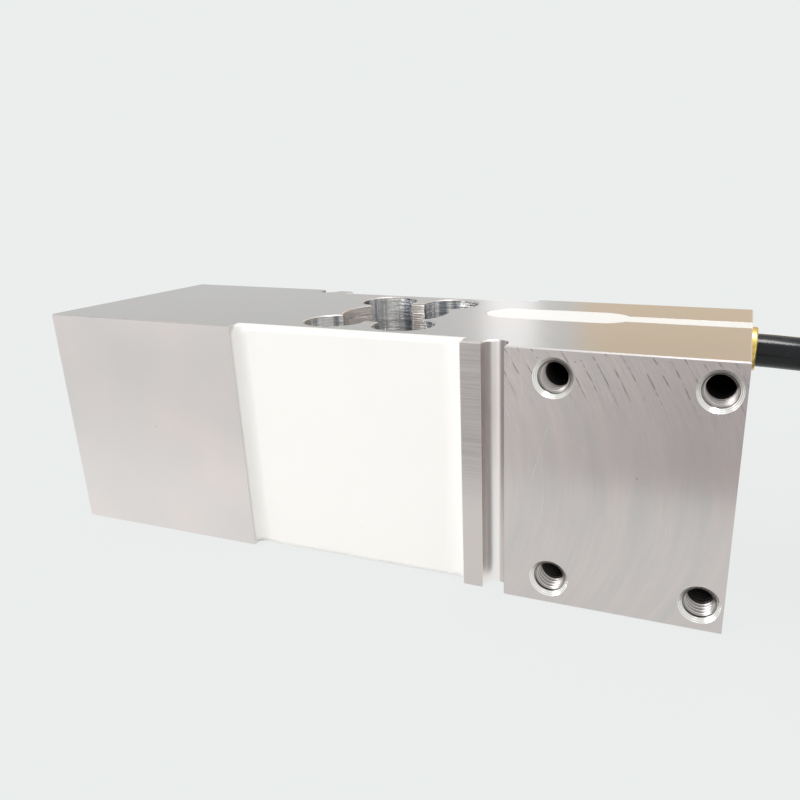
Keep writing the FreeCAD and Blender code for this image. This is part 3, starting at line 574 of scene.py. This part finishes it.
def pour(name, side, seed):
    """side is -1 on the mounting face and +1 on the loading face, half a turn round."""
    mesh = bmesh.new()
    bmesh.ops.create_grid(mesh, x_segments=GRID_X, y_segments=GRID_Z, size=0.5)
    for vertex in mesh.verts:
        share_x, share_z = crowded(vertex.co.x + 0.5), crowded(vertex.co.y + 0.5)
        x = RECESS_FAR + (RECESS_NEAR - RECESS_FAR) * share_x
        z = BEAM_HEIGHT * share_z
        height = rubber_height(x, z, seed)
        vertex.co = (x, -RECESS_FLOOR - height, z)
    rim = [edge for edge in mesh.edges if edge.is_boundary]
    for part in bmesh.ops.extrude_edge_only(mesh, edges=rim)["geom"]:
        if isinstance(part, bmesh.types.BMVert):
            part.co.y = -RECESS_FLOOR
    bmesh.ops.edgeloop_fill(mesh, edges=[e for e in mesh.edges if e.is_boundary])
    if side > 0:
        turn = Matrix.Rotation(math.pi, 3, "Z")
        bmesh.ops.rotate(mesh, verts=mesh.verts, cent=(0, 0, 0), matrix=turn)
    rubber = finished(mesh, name + "_rubber", 50)
    stands_for(rubber, "white_potting", name)
    print(rubber.name, "faces:", len(rubber.data.polygons))
    return rubber


front_rubber = pour("potting_front", -1, 3.7)
rear_rubber = pour("potting_rear", 1, 21.4)

# %% [markdown]
# ## Writing finishes as sums
#
# A finish is a network of nodes. Drawn by hand it is hard to read and to change, and most
# of it is arithmetic on positions: a mask that is 1 inside a face, a groove's height, a
# colour between two colours. So a small class stands for a node's output, and a sum
# written with it adds the Math nodes. Any other node comes from one method.

# %% A node's output that can be used in sums
def operator(name, swapped=False):
    """A method that adds one Math node."""

    def method(self, other):
        pair = (other, self) if swapped else (self, other)
        return self.finish.node("ShaderNodeMath", {"operation": name}, *pair)

    return method


class Tap:
    """One output of a node."""

    def __init__(self, finish, socket):
        self.finish = finish
        self.socket = socket

    __add__ = operator("ADD")
    __radd__ = operator("ADD", True)
    __sub__ = operator("SUBTRACT")
    __rsub__ = operator("SUBTRACT", True)
    __mul__ = operator("MULTIPLY")
    __rmul__ = operator("MULTIPLY", True)
    __truediv__ = operator("DIVIDE")
    __gt__ = operator("GREATER_THAN")
    __lt__ = operator("LESS_THAN")
    __mod__ = operator("FLOORED_MODULO")
    at_least = operator("MAXIMUM")
    at_most = operator("MINIMUM")

    def alone(self, name):
        """One Math node on this output alone."""
        return self.finish.node("ShaderNodeMath", {"operation": name}, self)

    def __abs__(self):
        return self.alone("ABSOLUTE")

    def __neg__(self):
        return 0 - self

    def rise(self, start, end):
        """0 before start, 1 after end, smooth between."""
        return self.finish.node(
            "ShaderNodeMapRange", {"interpolation_type": "SMOOTHSTEP"}, self, start, end
        )

    def between(self, low, high, soft):
        """1 from low to high, falling to 0 over soft outside them."""
        return self.rise(low - soft, low) * (1 - self.rise(high, high + soft))


# %% A finish and its nodes
class Finish:
    """One material: its nodes, and the surface shader that they feed."""

    def __init__(self, name, colour, roughness, metallic=0.0, gloss=0.5):
        self.material = finish_named(name)
        self.material.use_nodes = True
        self.tree = self.material.node_tree
        self.surface = self.tree.nodes["Principled BSDF"]
        self.material.diffuse_color = (*colour, 1)
        self.set("Base Color", (*colour, 1))
        self.set("Roughness", roughness)
        self.set("Metallic", metallic)
        self.set("Specular IOR Level", gloss)

    def set(self, socket, value):
        """Give the surface a number, a colour or a node's output."""
        self.give(self.surface.inputs[socket], value)
        return self

    def give(self, socket, value):
        """Link a node's output to a socket, or set the socket to a plain value."""
        if isinstance(value, Tap):
            self.tree.links.new(value.socket, socket)
        else:
            socket.default_value = value

    def node(self, kind, settings=None, *values, output=None, **named):
        """Add a node: settings first, then its sockets' values in order or by name."""
        made = self.tree.nodes.new(kind)
        for key, setting in (settings or {}).items():
            setattr(made, key, setting)
        for place, value in enumerate(values):
            self.give(made.inputs[place], value)
        for key, value in named.items():
            self.give(made.inputs[key.replace("_", " ")], value)
        enabled = [socket for socket in made.outputs if socket.enabled]
        return Tap(self, made.outputs[output] if output else enabled[0])

    def place(self):
        """The point on the piece, in millimetres: the vector and its three parts."""
        metres = self.node("ShaderNodeTexCoord", output="Object")
        vector = self.node(
            "ShaderNodeVectorMath", {"operation": "SCALE"}, metres, Scale=1000.0
        )
        return vector, *self.parts(vector)

    def parts(self, vector):
        """The three parts of a vector."""
        split = self.node("ShaderNodeSeparateXYZ", None, vector)
        return [Tap(self, socket) for socket in split.socket.node.outputs]

    def facing(self):
        """The direction that the surface looks in, as three parts."""
        return self.parts(self.node("ShaderNodeTexCoord", output="Normal"))

    def point(self, x, y, z):
        """A vector from three parts."""
        return self.node("ShaderNodeCombineXYZ", None, x, y, z)

    def grain(self, vector, scale, detail=3.0, roughness=0.55):
        """Smooth noise from 0 to 1."""
        return self.node(
            "ShaderNodeTexNoise",
            None,
            Vector=vector,
            Scale=scale,
            Detail=detail,
            Roughness=roughness,
        )

    def speckle(self, vector, scale):
        """Distance to the nearest of many scattered points, 0 at a point."""
        return self.node(
            "ShaderNodeTexVoronoi", None, Vector=vector, Scale=scale, output="Distance"
        )

    def blend(self, share, first, second):
        """A colour between two colours."""
        made = self.tree.nodes.new("ShaderNodeMix")
        made.data_type = "RGBA"
        for place, value in ((0, share), (6, first), (7, second)):
            if isinstance(value, tuple) and len(value) == 3:
                value = (*value, 1)
            self.give(made.inputs[place], value)
        return Tap(self, made.outputs[2])

    def mixed(self, share, first, second):
        """A shader between two shaders."""
        return self.node("ShaderNodeMixShader", None, share, first, second)

    def show(self, shader):
        """Let another shader than the plain surface reach the material's output."""
        self.give(self.tree.nodes["Material Output"].inputs["Surface"], shader)

    def relief(self, height, depth):
        """Raise the surface by a height from 0 to 1, times a depth in millimetres."""
        bump = self.node(
            "ShaderNodeBump", None, Strength=1.0, Distance=depth * MM, Height=height
        )
        return self.set("Normal", bump)

    def on(self, *pieces):
        """Cover pieces. One that was made with this finish is left as it is."""
        for piece in pieces:
            if piece.material_slots:
                for slot in piece.material_slots:
                    if slot.material != self.material:
                        slot.material = self.material
            else:
                piece.data.materials.append(self.material)
        return self


print("finishes can be written as sums")

# %% [markdown]
# ## Milled aluminium
#
# The beam is sawn bar, milled on every side. The finish tells how each face was cut. On the
# pads, a wide face mill leaves fine upright arcs and, near the top, short dark streaks. The
# side faces have fine lines along the beam and the arcs of a smaller mill. The four outer
# flexure bores are reamed bright, and their bands of light and dark are painted reflections.
# The middle bore has level lines, and the countersinks have turned rings. Some shade is
# painted as well: the faces that look up and down and the top bevels are darker, the tapped
# holes darken in their thread roots and deep inside, and the relief groove has a painted
# light left wall and a painted dark line and right wall. Each face could have a material of
# its own, but the beam is one piece of one metal, so one material chooses by place and by
# direction. The rear of the beam is the front turned half round, so both use one sum. All
# places are in millimetres.

# %% Aluminium: places on the beam
PAD_START, PAD_OUT = 33.4, 25.0
LAND_START, LAND_END = 24.9, 29.0
GROOVE_START, GROOVE_END = 28.9, 33.7
PLAIN_END = -26.0
POCKET_X, POCKET_Y = 15.2, 20.4
BORE_X, BORE_Y, BORE_REACH = 8.0, 13.0, 6.75
HOLES_ALONG, HOLES_UP = 56.7, 25.3  # the middle between the four tapped holes
HOLE_ASIDE, HOLE_ABOVE = 14.0, 20.0
CORE_HOLE, THREAD_REACH, MOUTH_REACH = 2.74, 3.3, 3.95
BEVEL_LEVEL = 49.6

metal = Finish("milled_aluminium", (0.68, 0.63, 0.615), 0.34, metallic=1.0)
spot, x, y, z = metal.place()
look_y, look_z = metal.facing()[1:]
front = (y < 0) * 2 - 1
along = x * front
out = y * -front
outward = look_y * -front
face_out = outward.rise(0.90, 0.97)
face_up = abs(look_z).rise(0.90, 0.97)
on_pad = face_out * (along > PAD_START) * (out > PAD_OUT)
on_land = face_out * along.between(LAND_START, LAND_END, 0.1) * (out > 24.0)
on_plain = face_out * (along < PLAIN_END)
in_relief = along.between(GROOVE_START, GROOVE_END, 0.05) * (1 - face_up) * (out > 20.5)
in_pocket = (abs(x) < POCKET_X) * (abs(y) < POCKET_Y) * (abs(look_z) < 0.5)


def distance_to(u, v, centre_u, centre_v):
    """Distance in a plane from a centre."""
    du, dv = u - centre_u, v - centre_v
    return (du * du + dv * dv).alone("SQRT")


bore_reach = distance_to(abs(x), abs(y), BORE_X, BORE_Y)
in_flexure_bore = in_pocket * (bore_reach < BORE_REACH)
in_middle_bore = in_pocket * (1 - in_flexure_bore)
aside, above = abs(along - HOLES_ALONG), abs(z - HOLES_UP)
hole_reach = distance_to(aside, above, HOLE_ASIDE, HOLE_ABOVE)
in_mouth = (hole_reach < MOUTH_REACH) * (out > 24.7) * (1 - face_out) * (along > 33)
# Masks for painted shade: deep in the tapped holes, and in their thread roots.
painted_hole_shade = (hole_reach < THREAD_REACH) * (1 - out.rise(20.0, 21.2)) * (along > 33)
thread_root_shade = hole_reach.between(CORE_HOLE, 3.08, 0.10) * (out < 24.9)
thread_root_shade = thread_root_shade * (along > 33) * (1 - face_out)
leaning = abs(look_z).between(0.45, 0.88, 0.03) * (abs(look_y) > 0.3)
on_bevel = leaning * (z > BEVEL_LEVEL) * (1 - in_pocket)
print("places on the beam are known")

# %% Aluminium: tool marks
PAD_MILL_RADIUS, PAD_MILL_HEIGHT = 44.0, 24.0
SIDE_MILL_RADIUS, SIDE_MILL_MIDDLE = 34.0, 3.0
TOOTH_SPACING = 2.6
RING_SPACING = 0.28


def sweep(radius, aside):
    """How far ahead of a mill's middle its edge cuts, at a distance to one side."""
    return (radius * radius - aside * aside).alone("SQRT")


feed_line = along - sweep(PAD_MILL_RADIUS, z - PAD_MILL_HEIGHT) + PAD_MILL_RADIUS
brushed = metal.grain(metal.point(feed_line * 3.2, out * 3.2, z * 0.06), 1.6, 5, 0.62)
broad_brush = metal.grain(metal.point(feed_line * 0.25, out, z * 0.03), 1.0, 3, 0.6)
lengthwise = metal.point(x * 0.05, y * 4.0, z * 4.0)
drawn = metal.grain(lengthwise, 1.2, 5, 0.6)
level = metal.grain(metal.point(x * 0.05, y * 0.05, z * 3.0), 1.3, 4, 0.6)
slow = metal.grain(spot, 0.045, 3, 0.5)

mill_sweep = sweep(SIDE_MILL_RADIUS, y - SIDE_MILL_MIDDLE)
feed = (x - mill_sweep) / 0.62 + metal.grain(spot, 0.12, 2) * 1.4
mill_arcs = (feed * (2 * math.pi)).alone("SINE") * 0.5 + 0.5
arcs_shown = metal.grain(spot, 0.09, 2).rise(0.46, 0.66) * abs(along - 24).rise(16, 3)

slanted = metal.grain(metal.point(feed_line * 3.4, 5.0, z * 0.24), 1.0, 4, 0.65)
wander = metal.grain(metal.point(0.0, 3.0, z * 0.12), 1.0, 2)
tooth_phase = feed_line / TOOTH_SPACING + wander * 0.5
tooth_offset = abs(tooth_phase % 1.0 - 0.5) * TOOTH_SPACING
tooth_shown = metal.grain(metal.point(feed_line * 0.6, 7.0, z * 0.55), 1.0, 3)
streaks = (1 - tooth_offset.rise(0.04, 0.22)) * tooth_shown.rise(0.44, 0.60)
streaks_dark = streaks * z.rise(38.5, 46.5) * on_pad
rings = (hole_reach * (2 * math.pi / RING_SPACING)).alone("SINE") * in_mouth
print("tool marks are drawn")

# %% Aluminium: a few scratches
SCRATCHES = [  # on the mounting pad: where it starts, where it ends, width, in millimetres
    (39.3, 26.3, 42.0, 35.3, 0.05),
    (42.0, 36.2, 49.5, 31.8, 0.05),
    (36.8, 50.0, 36.8, 43.0, 0.06),
    (34.7, 50.3, 34.8, 47.6, 0.06),
    (34.2, 38.6, 36.4, 34.8, 0.05),
    (55.8, 34.6, 56.6, 36.8, 0.06),
    (41.3, 22.5, 40.9, 17.5, 0.04),
]
scratches = None
for x0, z0, x1, z1, width in SCRATCHES:
    length = math.hypot(x1 - x0, z1 - z0)
    ux, uz = (x1 - x0) / length, (z1 - z0) / length
    run = (along - x0) * ux + (z - z0) * uz
    side = (along - x0) * uz - (z - z0) * ux + (run / 9.0).alone("SINE") * 0.35
    one = (1 - abs(side).rise(width * 0.4, width)) * run.between(0.0, length, 1.5)
    scratches = one if scratches is None else scratches.at_least(one)
broken = metal.grain(spot, 0.9, 2).rise(0.40, 0.55)
scratches = scratches * broken * on_pad
specks = metal.speckle(spot, 0.16)
specks = (1 - specks.rise(0.02, 0.035)) * (on_pad.at_least(on_plain))
print("scratches:", len(SCRATCHES))

# %% Aluminium: put the finish together
# shade is the share of the metal's colour that a place keeps: its tool marks, scratches and
# specks, and painted shade and light where marked below.
shade = 0.97 + (slow - 0.5) * 0.10
shade = shade + (brushed - 0.5) * 0.12 * on_pad + (broad_brush - 0.5) * 0.17 * on_pad
shade = shade + (slanted - 0.5) * 0.50 * on_pad * z.rise(30.0, 47.0)
shade = shade + (drawn - 0.5) * 0.20 * face_up
# The land is darker towards its top.
shade = shade + ((level - 0.5) * 0.5 - 0.20) * on_land * z.rise(16.0, 30.0)
shade = shade + (level - 0.5) * 0.22 * in_middle_bore + scratches * 0.25
shade = shade + (mill_arcs - 0.5) * 0.14 * arcs_shown * face_up + rings * 0.10
shade = shade * (1 - streaks_dark * 0.45) * (1 - specks * 0.35)
# Painted shade: deep in the tapped holes, on the faces that look up and down, in the thread
# roots and on the top bevels.
shade = shade * (1 - painted_hole_shade * 0.93) * (1 - face_up * 0.31)
shade = shade * (1 - thread_root_shade * 0.45) * (1 - on_bevel * 0.30)
# Painted shade and light in the relief groove: a dark line and a darker right wall, and a
# lighter left wall.
groove_painted_shade = along.between(31.9, 32.5, 0.4) * z.rise(8.0, 32.0) * 0.7
groove_painted_shade = groove_painted_shade + along.rise(32.9, 33.2)
groove_painted_light = 1 - along.rise(31.2, 31.8)
shade = shade * (1 - in_relief * (groove_painted_shade * 0.60 - groove_painted_light * 0.55))

# The colour itself: two close tones, then the bores and the countersinks. The bands of light
# and dark round the flexure bores are painted reflections.
hue = broad_brush * on_pad + slow * (1 - on_pad)
tone = metal.blend(hue.rise(0.36, 0.64), (0.665, 0.630, 0.622), (0.695, 0.632, 0.618))
warm_bore = metal.blend(in_middle_bore, tone, (0.80, 0.74, 0.70))
bands = metal.grain(metal.point(x * 0.42, y * 0.42, 0.0), 1.0, 3, 0.6).rise(0.36, 0.62)
bore_reflection_colour = metal.blend(bands, (0.34, 0.36, 0.40), (0.95, 0.93, 0.91))
bores_with_painted_reflections = metal.blend(in_flexure_bore, warm_bore, bore_reflection_colour)
bright = metal.blend(in_mouth, bores_with_painted_reflections, (0.88, 0.85, 0.82))
tinted = metal.node("ShaderNodeVectorMath", {"operation": "SCALE"}, bright, Scale=shade)
metal.set("Base Color", tinted)

rough = 0.33 + (slow - 0.5) * 0.08 + (brushed - 0.5) * 0.10 * on_pad - on_pad * 0.11
rough = rough - face_up * 0.08 + on_plain * 0.06 - in_middle_bore * 0.03 + on_bevel * 0.2
rough = rough - in_flexure_bore * 0.10 - in_mouth * 0.10 - scratches * 0.1
metal.set("Roughness", rough.at_least(0.06))

height = brushed * on_pad * 0.5 + drawn * face_up * 0.5 + level * on_land * 0.9
height = height + slow * 0.4 + rings * 0.5
height = height + level * (in_middle_bore * 13.0 + in_flexure_bore * 17.0)
height = height + mill_arcs * arcs_shown * face_up * 0.45 - scratches * 0.8
height = height - streaks_dark * 0.5 + brushed * on_plain * 0.15
metal.relief(height, 0.010)
metal.on(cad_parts["spring_element"])
for name in ("mounting_threads", "loading_threads"):
    metal.on(bpy.data.objects[name])
print("nodes in the aluminium:", len(metal.tree.nodes))

# %% [markdown]
# ## White silicone
#
# Cured silicone is white, a little warm, with a soft gloss. Real potting has faint pits and
# dust. The grey line where its skirt meets metal is painted shade. The pits could be
# modelled, but they are finer than the surface's grid, so they are part of the finish.

# %% White silicone
rubber = Finish("white_silicone", (0.92, 0.90, 0.88), 0.42, gloss=0.4)
spot, x, y = rubber.place()[:3]
front = (y < 0) * 2 - 1
along = x * front
cloudy = rubber.grain(spot, 0.05, 3)
pits = rubber.speckle(spot, 0.11)
pits = (1 - pits.rise(0.012, 0.03)) * rubber.grain(spot, 0.05, 1).rise(0.48, 0.60)
from_wall = (RECESS_NEAR / MM - along).at_most(along - RECESS_FAR / MM)
# A grey line along the recess walls is painted shade where the rubber meets the metal; the
# pits are the rubber's own.
wall_shade_line = (1 - from_wall.rise(0.05, 0.30)) * (abs(y) > 20)
pits_and_wall_shade = pits * 0.5 + wall_shade_line * 0.35
white = rubber.blend(cloudy, (0.925, 0.893, 0.870), (0.940, 0.910, 0.888))
rubber.set("Base Color", rubber.blend(pits_and_wall_shade, white, (0.42, 0.38, 0.34)))
rubber.set("Roughness", 0.40 + (cloudy - 0.5) * 0.15)
rubber.relief(rubber.grain(spot, 0.35, 4, 0.6) * 0.6 - pits, 0.05)
rubber.on(front_rubber, rear_rubber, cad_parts["potting_channel"])
print("silicone is on", len(rubber.tree.nodes), "nodes")

# %% [markdown]
# ## Brass, cable sheath and nylon
#
# The ferrule is turned brass, so its rings run round the cable's axis. The sheath is black
# PVC drawn through a die: smooth and glossy, with faint scuffs. The ties are moulded nylon,
# duller than the sheath. What is sealed in or hidden gets a plain finish from one function.

# %% Brass
brass = Finish("turned_brass", (0.74, 0.56, 0.26), 0.24, metallic=1.0)
x, y, z = brass.place()[1:]
AXIS_Y, AXIS_Z = 5.6, 46.0  # of the ferrule, in millimetres
TURNING_FEED = 0.22
around = brass.node("ShaderNodeMath", {"operation": "ARCTAN2"}, z - AXIS_Z, y - AXIS_Y)
reach = distance_to(y, z, AXIS_Y, AXIS_Z)
turned = (reach * (2 * math.pi / TURNING_FEED)).alone("SINE") * 0.5 + 0.5
# Segments round the ring, from dark brown to bright yellow, are painted highlights and
# shade.
ring_segments = brass.grain(brass.point(around * 2.6, reach * 0.6, x * 0.4), 1.0, 3)
gold_with_painted_highlights = brass.blend(ring_segments.rise(0.3, 0.7), (0.40, 0.25, 0.05), (0.90, 0.66, 0.20))
brass.set("Base Color", gold_with_painted_highlights)
brass.set("Roughness", 0.16 + ring_segments * 0.2)
brass.relief(turned * 0.5 + ring_segments, 0.012)
brass.on(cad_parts["cable_ferrule"])
print("nodes in the brass:", len(brass.tree.nodes))

# %% Black cable sheath
sheath = Finish("black_pvc_sheath", (0.010, 0.010, 0.012), 0.20, gloss=0.32)
spot = sheath.place()[0]
skin = sheath.grain(spot, 0.16, 4, 0.55)
scuff = sheath.grain(spot, 1.1, 3).rise(0.58, 0.75)
black = sheath.blend(scuff, (0.006, 0.006, 0.008), (0.020, 0.020, 0.022))
sheath.set("Base Color", black)
sheath.set("Roughness", 0.15 + skin * 0.08 + scuff * 0.12)
sheath.relief(skin + scuff * 0.1, 0.03)
sheath.on(cable)
print("nodes in the sheath:", len(sheath.tree.nodes))


# %% Plain plastics, and what is sealed in
def plastic(name, colour, roughness, grain_size, depth, *pieces):
    """A moulded or drawn plastic: an even colour with a fine grain and a slow shade."""
    made = Finish(name, colour, roughness)
    spot = made.place()[0]
    fine = made.grain(spot, 1 / grain_size, 4)
    slow = made.grain(spot, 0.12 / grain_size, 2)
    darker = tuple(part * 0.82 for part in colour)
    lighter = tuple(min(part * 1.12 + 0.004, 1) for part in colour)
    made.set("Base Color", made.blend(slow, darker, lighter))
    made.set("Roughness", roughness + (fine - 0.5) * 0.16)
    made.relief(fine, depth)
    return made.on(*pieces)


def metallic(name, colour, roughness, grain_size, depth, *pieces):
    """The same for small metal pieces."""
    made = plastic(name, colour, roughness, grain_size, depth, *pieces)
    return made.set("Metallic", 1.0)


print("plain finishes can be made")

# %% Give the small pieces their finishes
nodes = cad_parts
plastic("tie_nylon_black", (0.016, 0.016, 0.017), 0.42, 0.5, 0.02, *ties)
CORE_COLOURS = {
    "red": (0.50, 0.022, 0.018),
    "black": (0.015, 0.015, 0.016),
    "green": (0.030, 0.230, 0.055),
    "white": (0.78, 0.77, 0.74),
}
for colour, shade_of_core in CORE_COLOURS.items():
    core = bpy.data.objects[colour + "_core"]
    plastic(colour + "_insulation", shade_of_core, 0.36, 0.4, 0.02, core)
strands = [piece for piece in cores if piece.name.endswith("strands")]
metallic("tinned_strands", (0.70, 0.69, 0.66), 0.30, 0.2, 0.01, *strands)
gauges = [piece for name, piece in nodes.items() if name.startswith("strain_gauge")]
plastic("gauge_backing", (0.55, 0.33, 0.07), 0.35, 0.4, 0.01, *gauges)
terminals = [nodes["solder_terminals_front"], nodes["solder_terminals_rear"]]
metallic("solder", (0.62, 0.62, 0.61), 0.34, 0.6, 0.04, *terminals)
wires = [nodes["gauge_wires_front"], nodes["gauge_wires_rear"]]
metallic("enamelled_copper", (0.62, 0.25, 0.09), 0.25, 0.3, 0.01, *wires)
plastic("board_laminate", (0.05, 0.21, 0.07), 0.45, 0.3, 0.02, nodes["compensation_board"])
plastic("resistor_ceramic", (0.03, 0.03, 0.03), 0.40, 0.3, 0.02, nodes["trim_resistors"])
plastic("inner_insulation", (0.75, 0.74, 0.71), 0.40, 0.4, 0.02, nodes["inner_cores"])
print("finishes:", len(bpy.data.materials))

# %% [markdown]
# ## The bench, the light and the finish line
#
# A product like this is shot on white paper with large soft lamps. The paper here is a plain
# pale plane. Seen by the camera it is the backdrop's colour with only a trace of shadow.
# Seen in the metal it glows brighter in front of the beam's left end, a painted pool of
# light.
# Metal shows what stands round it, so a grey card, painted shade that only the metal sees,
# lies in front of the beam, a strip lamp behind it draws a bright band across the side face,
# and a cream board that glows by itself, a painted warm reflection, stands behind its right
# end. A small lamp hangs over the cable for the streak of light along it. These things could
# be drawn into the finishes, but then they would not move with the view.

# %% Lay the bench
PALE = (0.831, 0.855, 0.847)
bench_mesh = bmesh.new()
bmesh.ops.create_grid(bench_mesh, x_segments=8, y_segments=8, size=4.0)
bench = finished(bench_mesh, "bench")
paper = Finish("white_paper", (0.74, 0.75, 0.74), 0.9, gloss=0.2)
rays = paper.node("ShaderNodeLightPath", output="Is Camera Ray")
mirrored = Tap(paper, rays.socket.node.outputs["Is Glossy Ray"])
through = Tap(paper, rays.socket.node.outputs["Is Transmission Ray"])
x, y = paper.place()[1:3]
far = distance_to(x, y, 0.0, 0.0).rise(150.0, 420.0)
# Seen in the metal, the paper glows brighter in front of the beam's left end, with no lamp
# there: a painted pool of light. DIM is how bright the metal sees the paper elsewhere,
# GLOWING in that glow.
glow_near_left = (1 - x.rise(-60.0, 40.0)) * y.rise(-120.0, -45.0)
DIM, GLOWING = 0.98, 1.34  # how bright the metal sees the paper, away from the lamp and near
SEEN_AS_ONE = (1 - DIM) / (GLOWING - DIM)  # the share that gives the camera exactly 1
dim = paper.node("ShaderNodeEmission", None, (*PALE, 1), DIM)
glowing = paper.node("ShaderNodeEmission", None, (*PALE, 1), GLOWING)
painted_glow = paper.mixed(mirrored * glow_near_left + (1 - mirrored) * SEEN_AS_ONE, dim, glowing)
flat_share = rays.at_least(mirrored).at_least(through) * (0.93 + 0.07 * far)
plain = Tap(paper, paper.surface.outputs[0])
paper.show(paper.mixed(flat_share, plain, painted_glow))
paper.on(bench)
print("bench is laid")


# %% Boards that only the metal sees
def board(name, place, tilt, half_width, half_height):
    """A flat board, seen only as a reflection."""
    stand = Matrix.Translation(place) @ Matrix.Rotation(math.radians(tilt), 4, "X")
    shape = stand @ Matrix.Diagonal((half_width, half_height, 1, 1))
    mesh = bmesh.new()
    bmesh.ops.create_grid(mesh, x_segments=4, y_segments=4, size=1, matrix=shape)
    made = finished(mesh, name)
    made.visible_camera = False
    made.visible_diffuse = False
    return made


# The grey card is painted shade that only the metal sees, darker towards its right.
card = board("grey_card", (0.015, -0.235, 0.0006), 0, 0.10, 0.15)
card.visible_shadow = False
grey = Finish("grey_board", (0.5, 0.48, 0.49), 0.9, gloss=0.2)
darkening = grey.place()[1].rise(-30, 110)
grey.set("Base Color", grey.blend(darkening, (0.70, 0.675, 0.67), (0.46, 0.42, 0.43)))
grey.on(card)

# The cream board glows by itself, with no lamp in it: a painted warm reflection that only
# the metal sees.
cream_board = board("cream_board", (0.26, 0.95, 0.30), 90, 0.42, 0.30)
cream = Finish("cream_card", (0.85, 0.70, 0.50), 0.9)
cream.show(cream.node("ShaderNodeEmission", None, (1.0, 0.84, 0.62, 1), 0.95))
cream.on(cream_board)
print("boards:", card.name, "and", cream_board.name)

# %% Light the studio
AMBIENT = 0.99  # what the sky gives as light, where 1 is how bright it looks
world = bpy.data.worlds.new("studio")
world.use_nodes = True
bpy.context.scene.world = world
sky = world.node_tree
background = sky.nodes["Background"]
background.inputs["Color"].default_value = (*PALE, 1)
path = sky.nodes.new("ShaderNodeLightPath")
seen = path.outputs["Is Camera Ray"]
for kind in ("Is Glossy Ray", "Is Transmission Ray"):
    either = sky.nodes.new("ShaderNodeMath")
    either.operation = "MAXIMUM"
    sky.links.new(seen, either.inputs[0])
    sky.links.new(path.outputs[kind], either.inputs[1])
    seen = either.outputs[0]
strength = sky.nodes.new("ShaderNodeMapRange")
strength.inputs["To Min"].default_value = AMBIENT
strength.inputs["To Max"].default_value = 1.0
sky.links.new(seen, strength.inputs["Value"])
sky.links.new(strength.outputs["Result"], background.inputs["Strength"])


def softbox(name, place, target, width, height, power):
    """A rectangular white lamp that the camera doesn't see."""
    light = bpy.data.lights.new(name, "AREA")
    light.shape = "RECTANGLE"
    light.size, light.size_y = width, height
    light.energy = power
    lamp = bpy.data.objects.new(name, light)
    lamp.visible_camera = False
    lamp.rotation_mode = "QUATERNION"
    away = Vector(place) - Vector(target)
    lamp.location = place
    lamp.rotation_quaternion = away.to_track_quat("Z", "Y")
    bpy.context.scene.collection.objects.link(lamp)
    return lamp


BEAM_MIDDLE = (0.0, 0.0, 0.03)
over_cable = softbox("over_cable", (0.19, -0.10, 0.80), (0.10, 0, 0.03), 0.16, 0.34, 3.4)
over_cable.visible_diffuse = False
softbox("overhead", (-0.05, 0.10, 0.90), BEAM_MIDDLE, 0.7, 0.5, 1.0)
softbox("front_left", (-0.75, -0.75, 0.45), BEAM_MIDDLE, 0.6, 0.6, 4.6)
softbox("strip_behind", (-0.29, 1.0, 0.36), BEAM_MIDDLE, 0.09, 0.5, 0.10)

# %% Set the picture's colours
bpy.context.scene.view_settings.view_transform = "Standard"
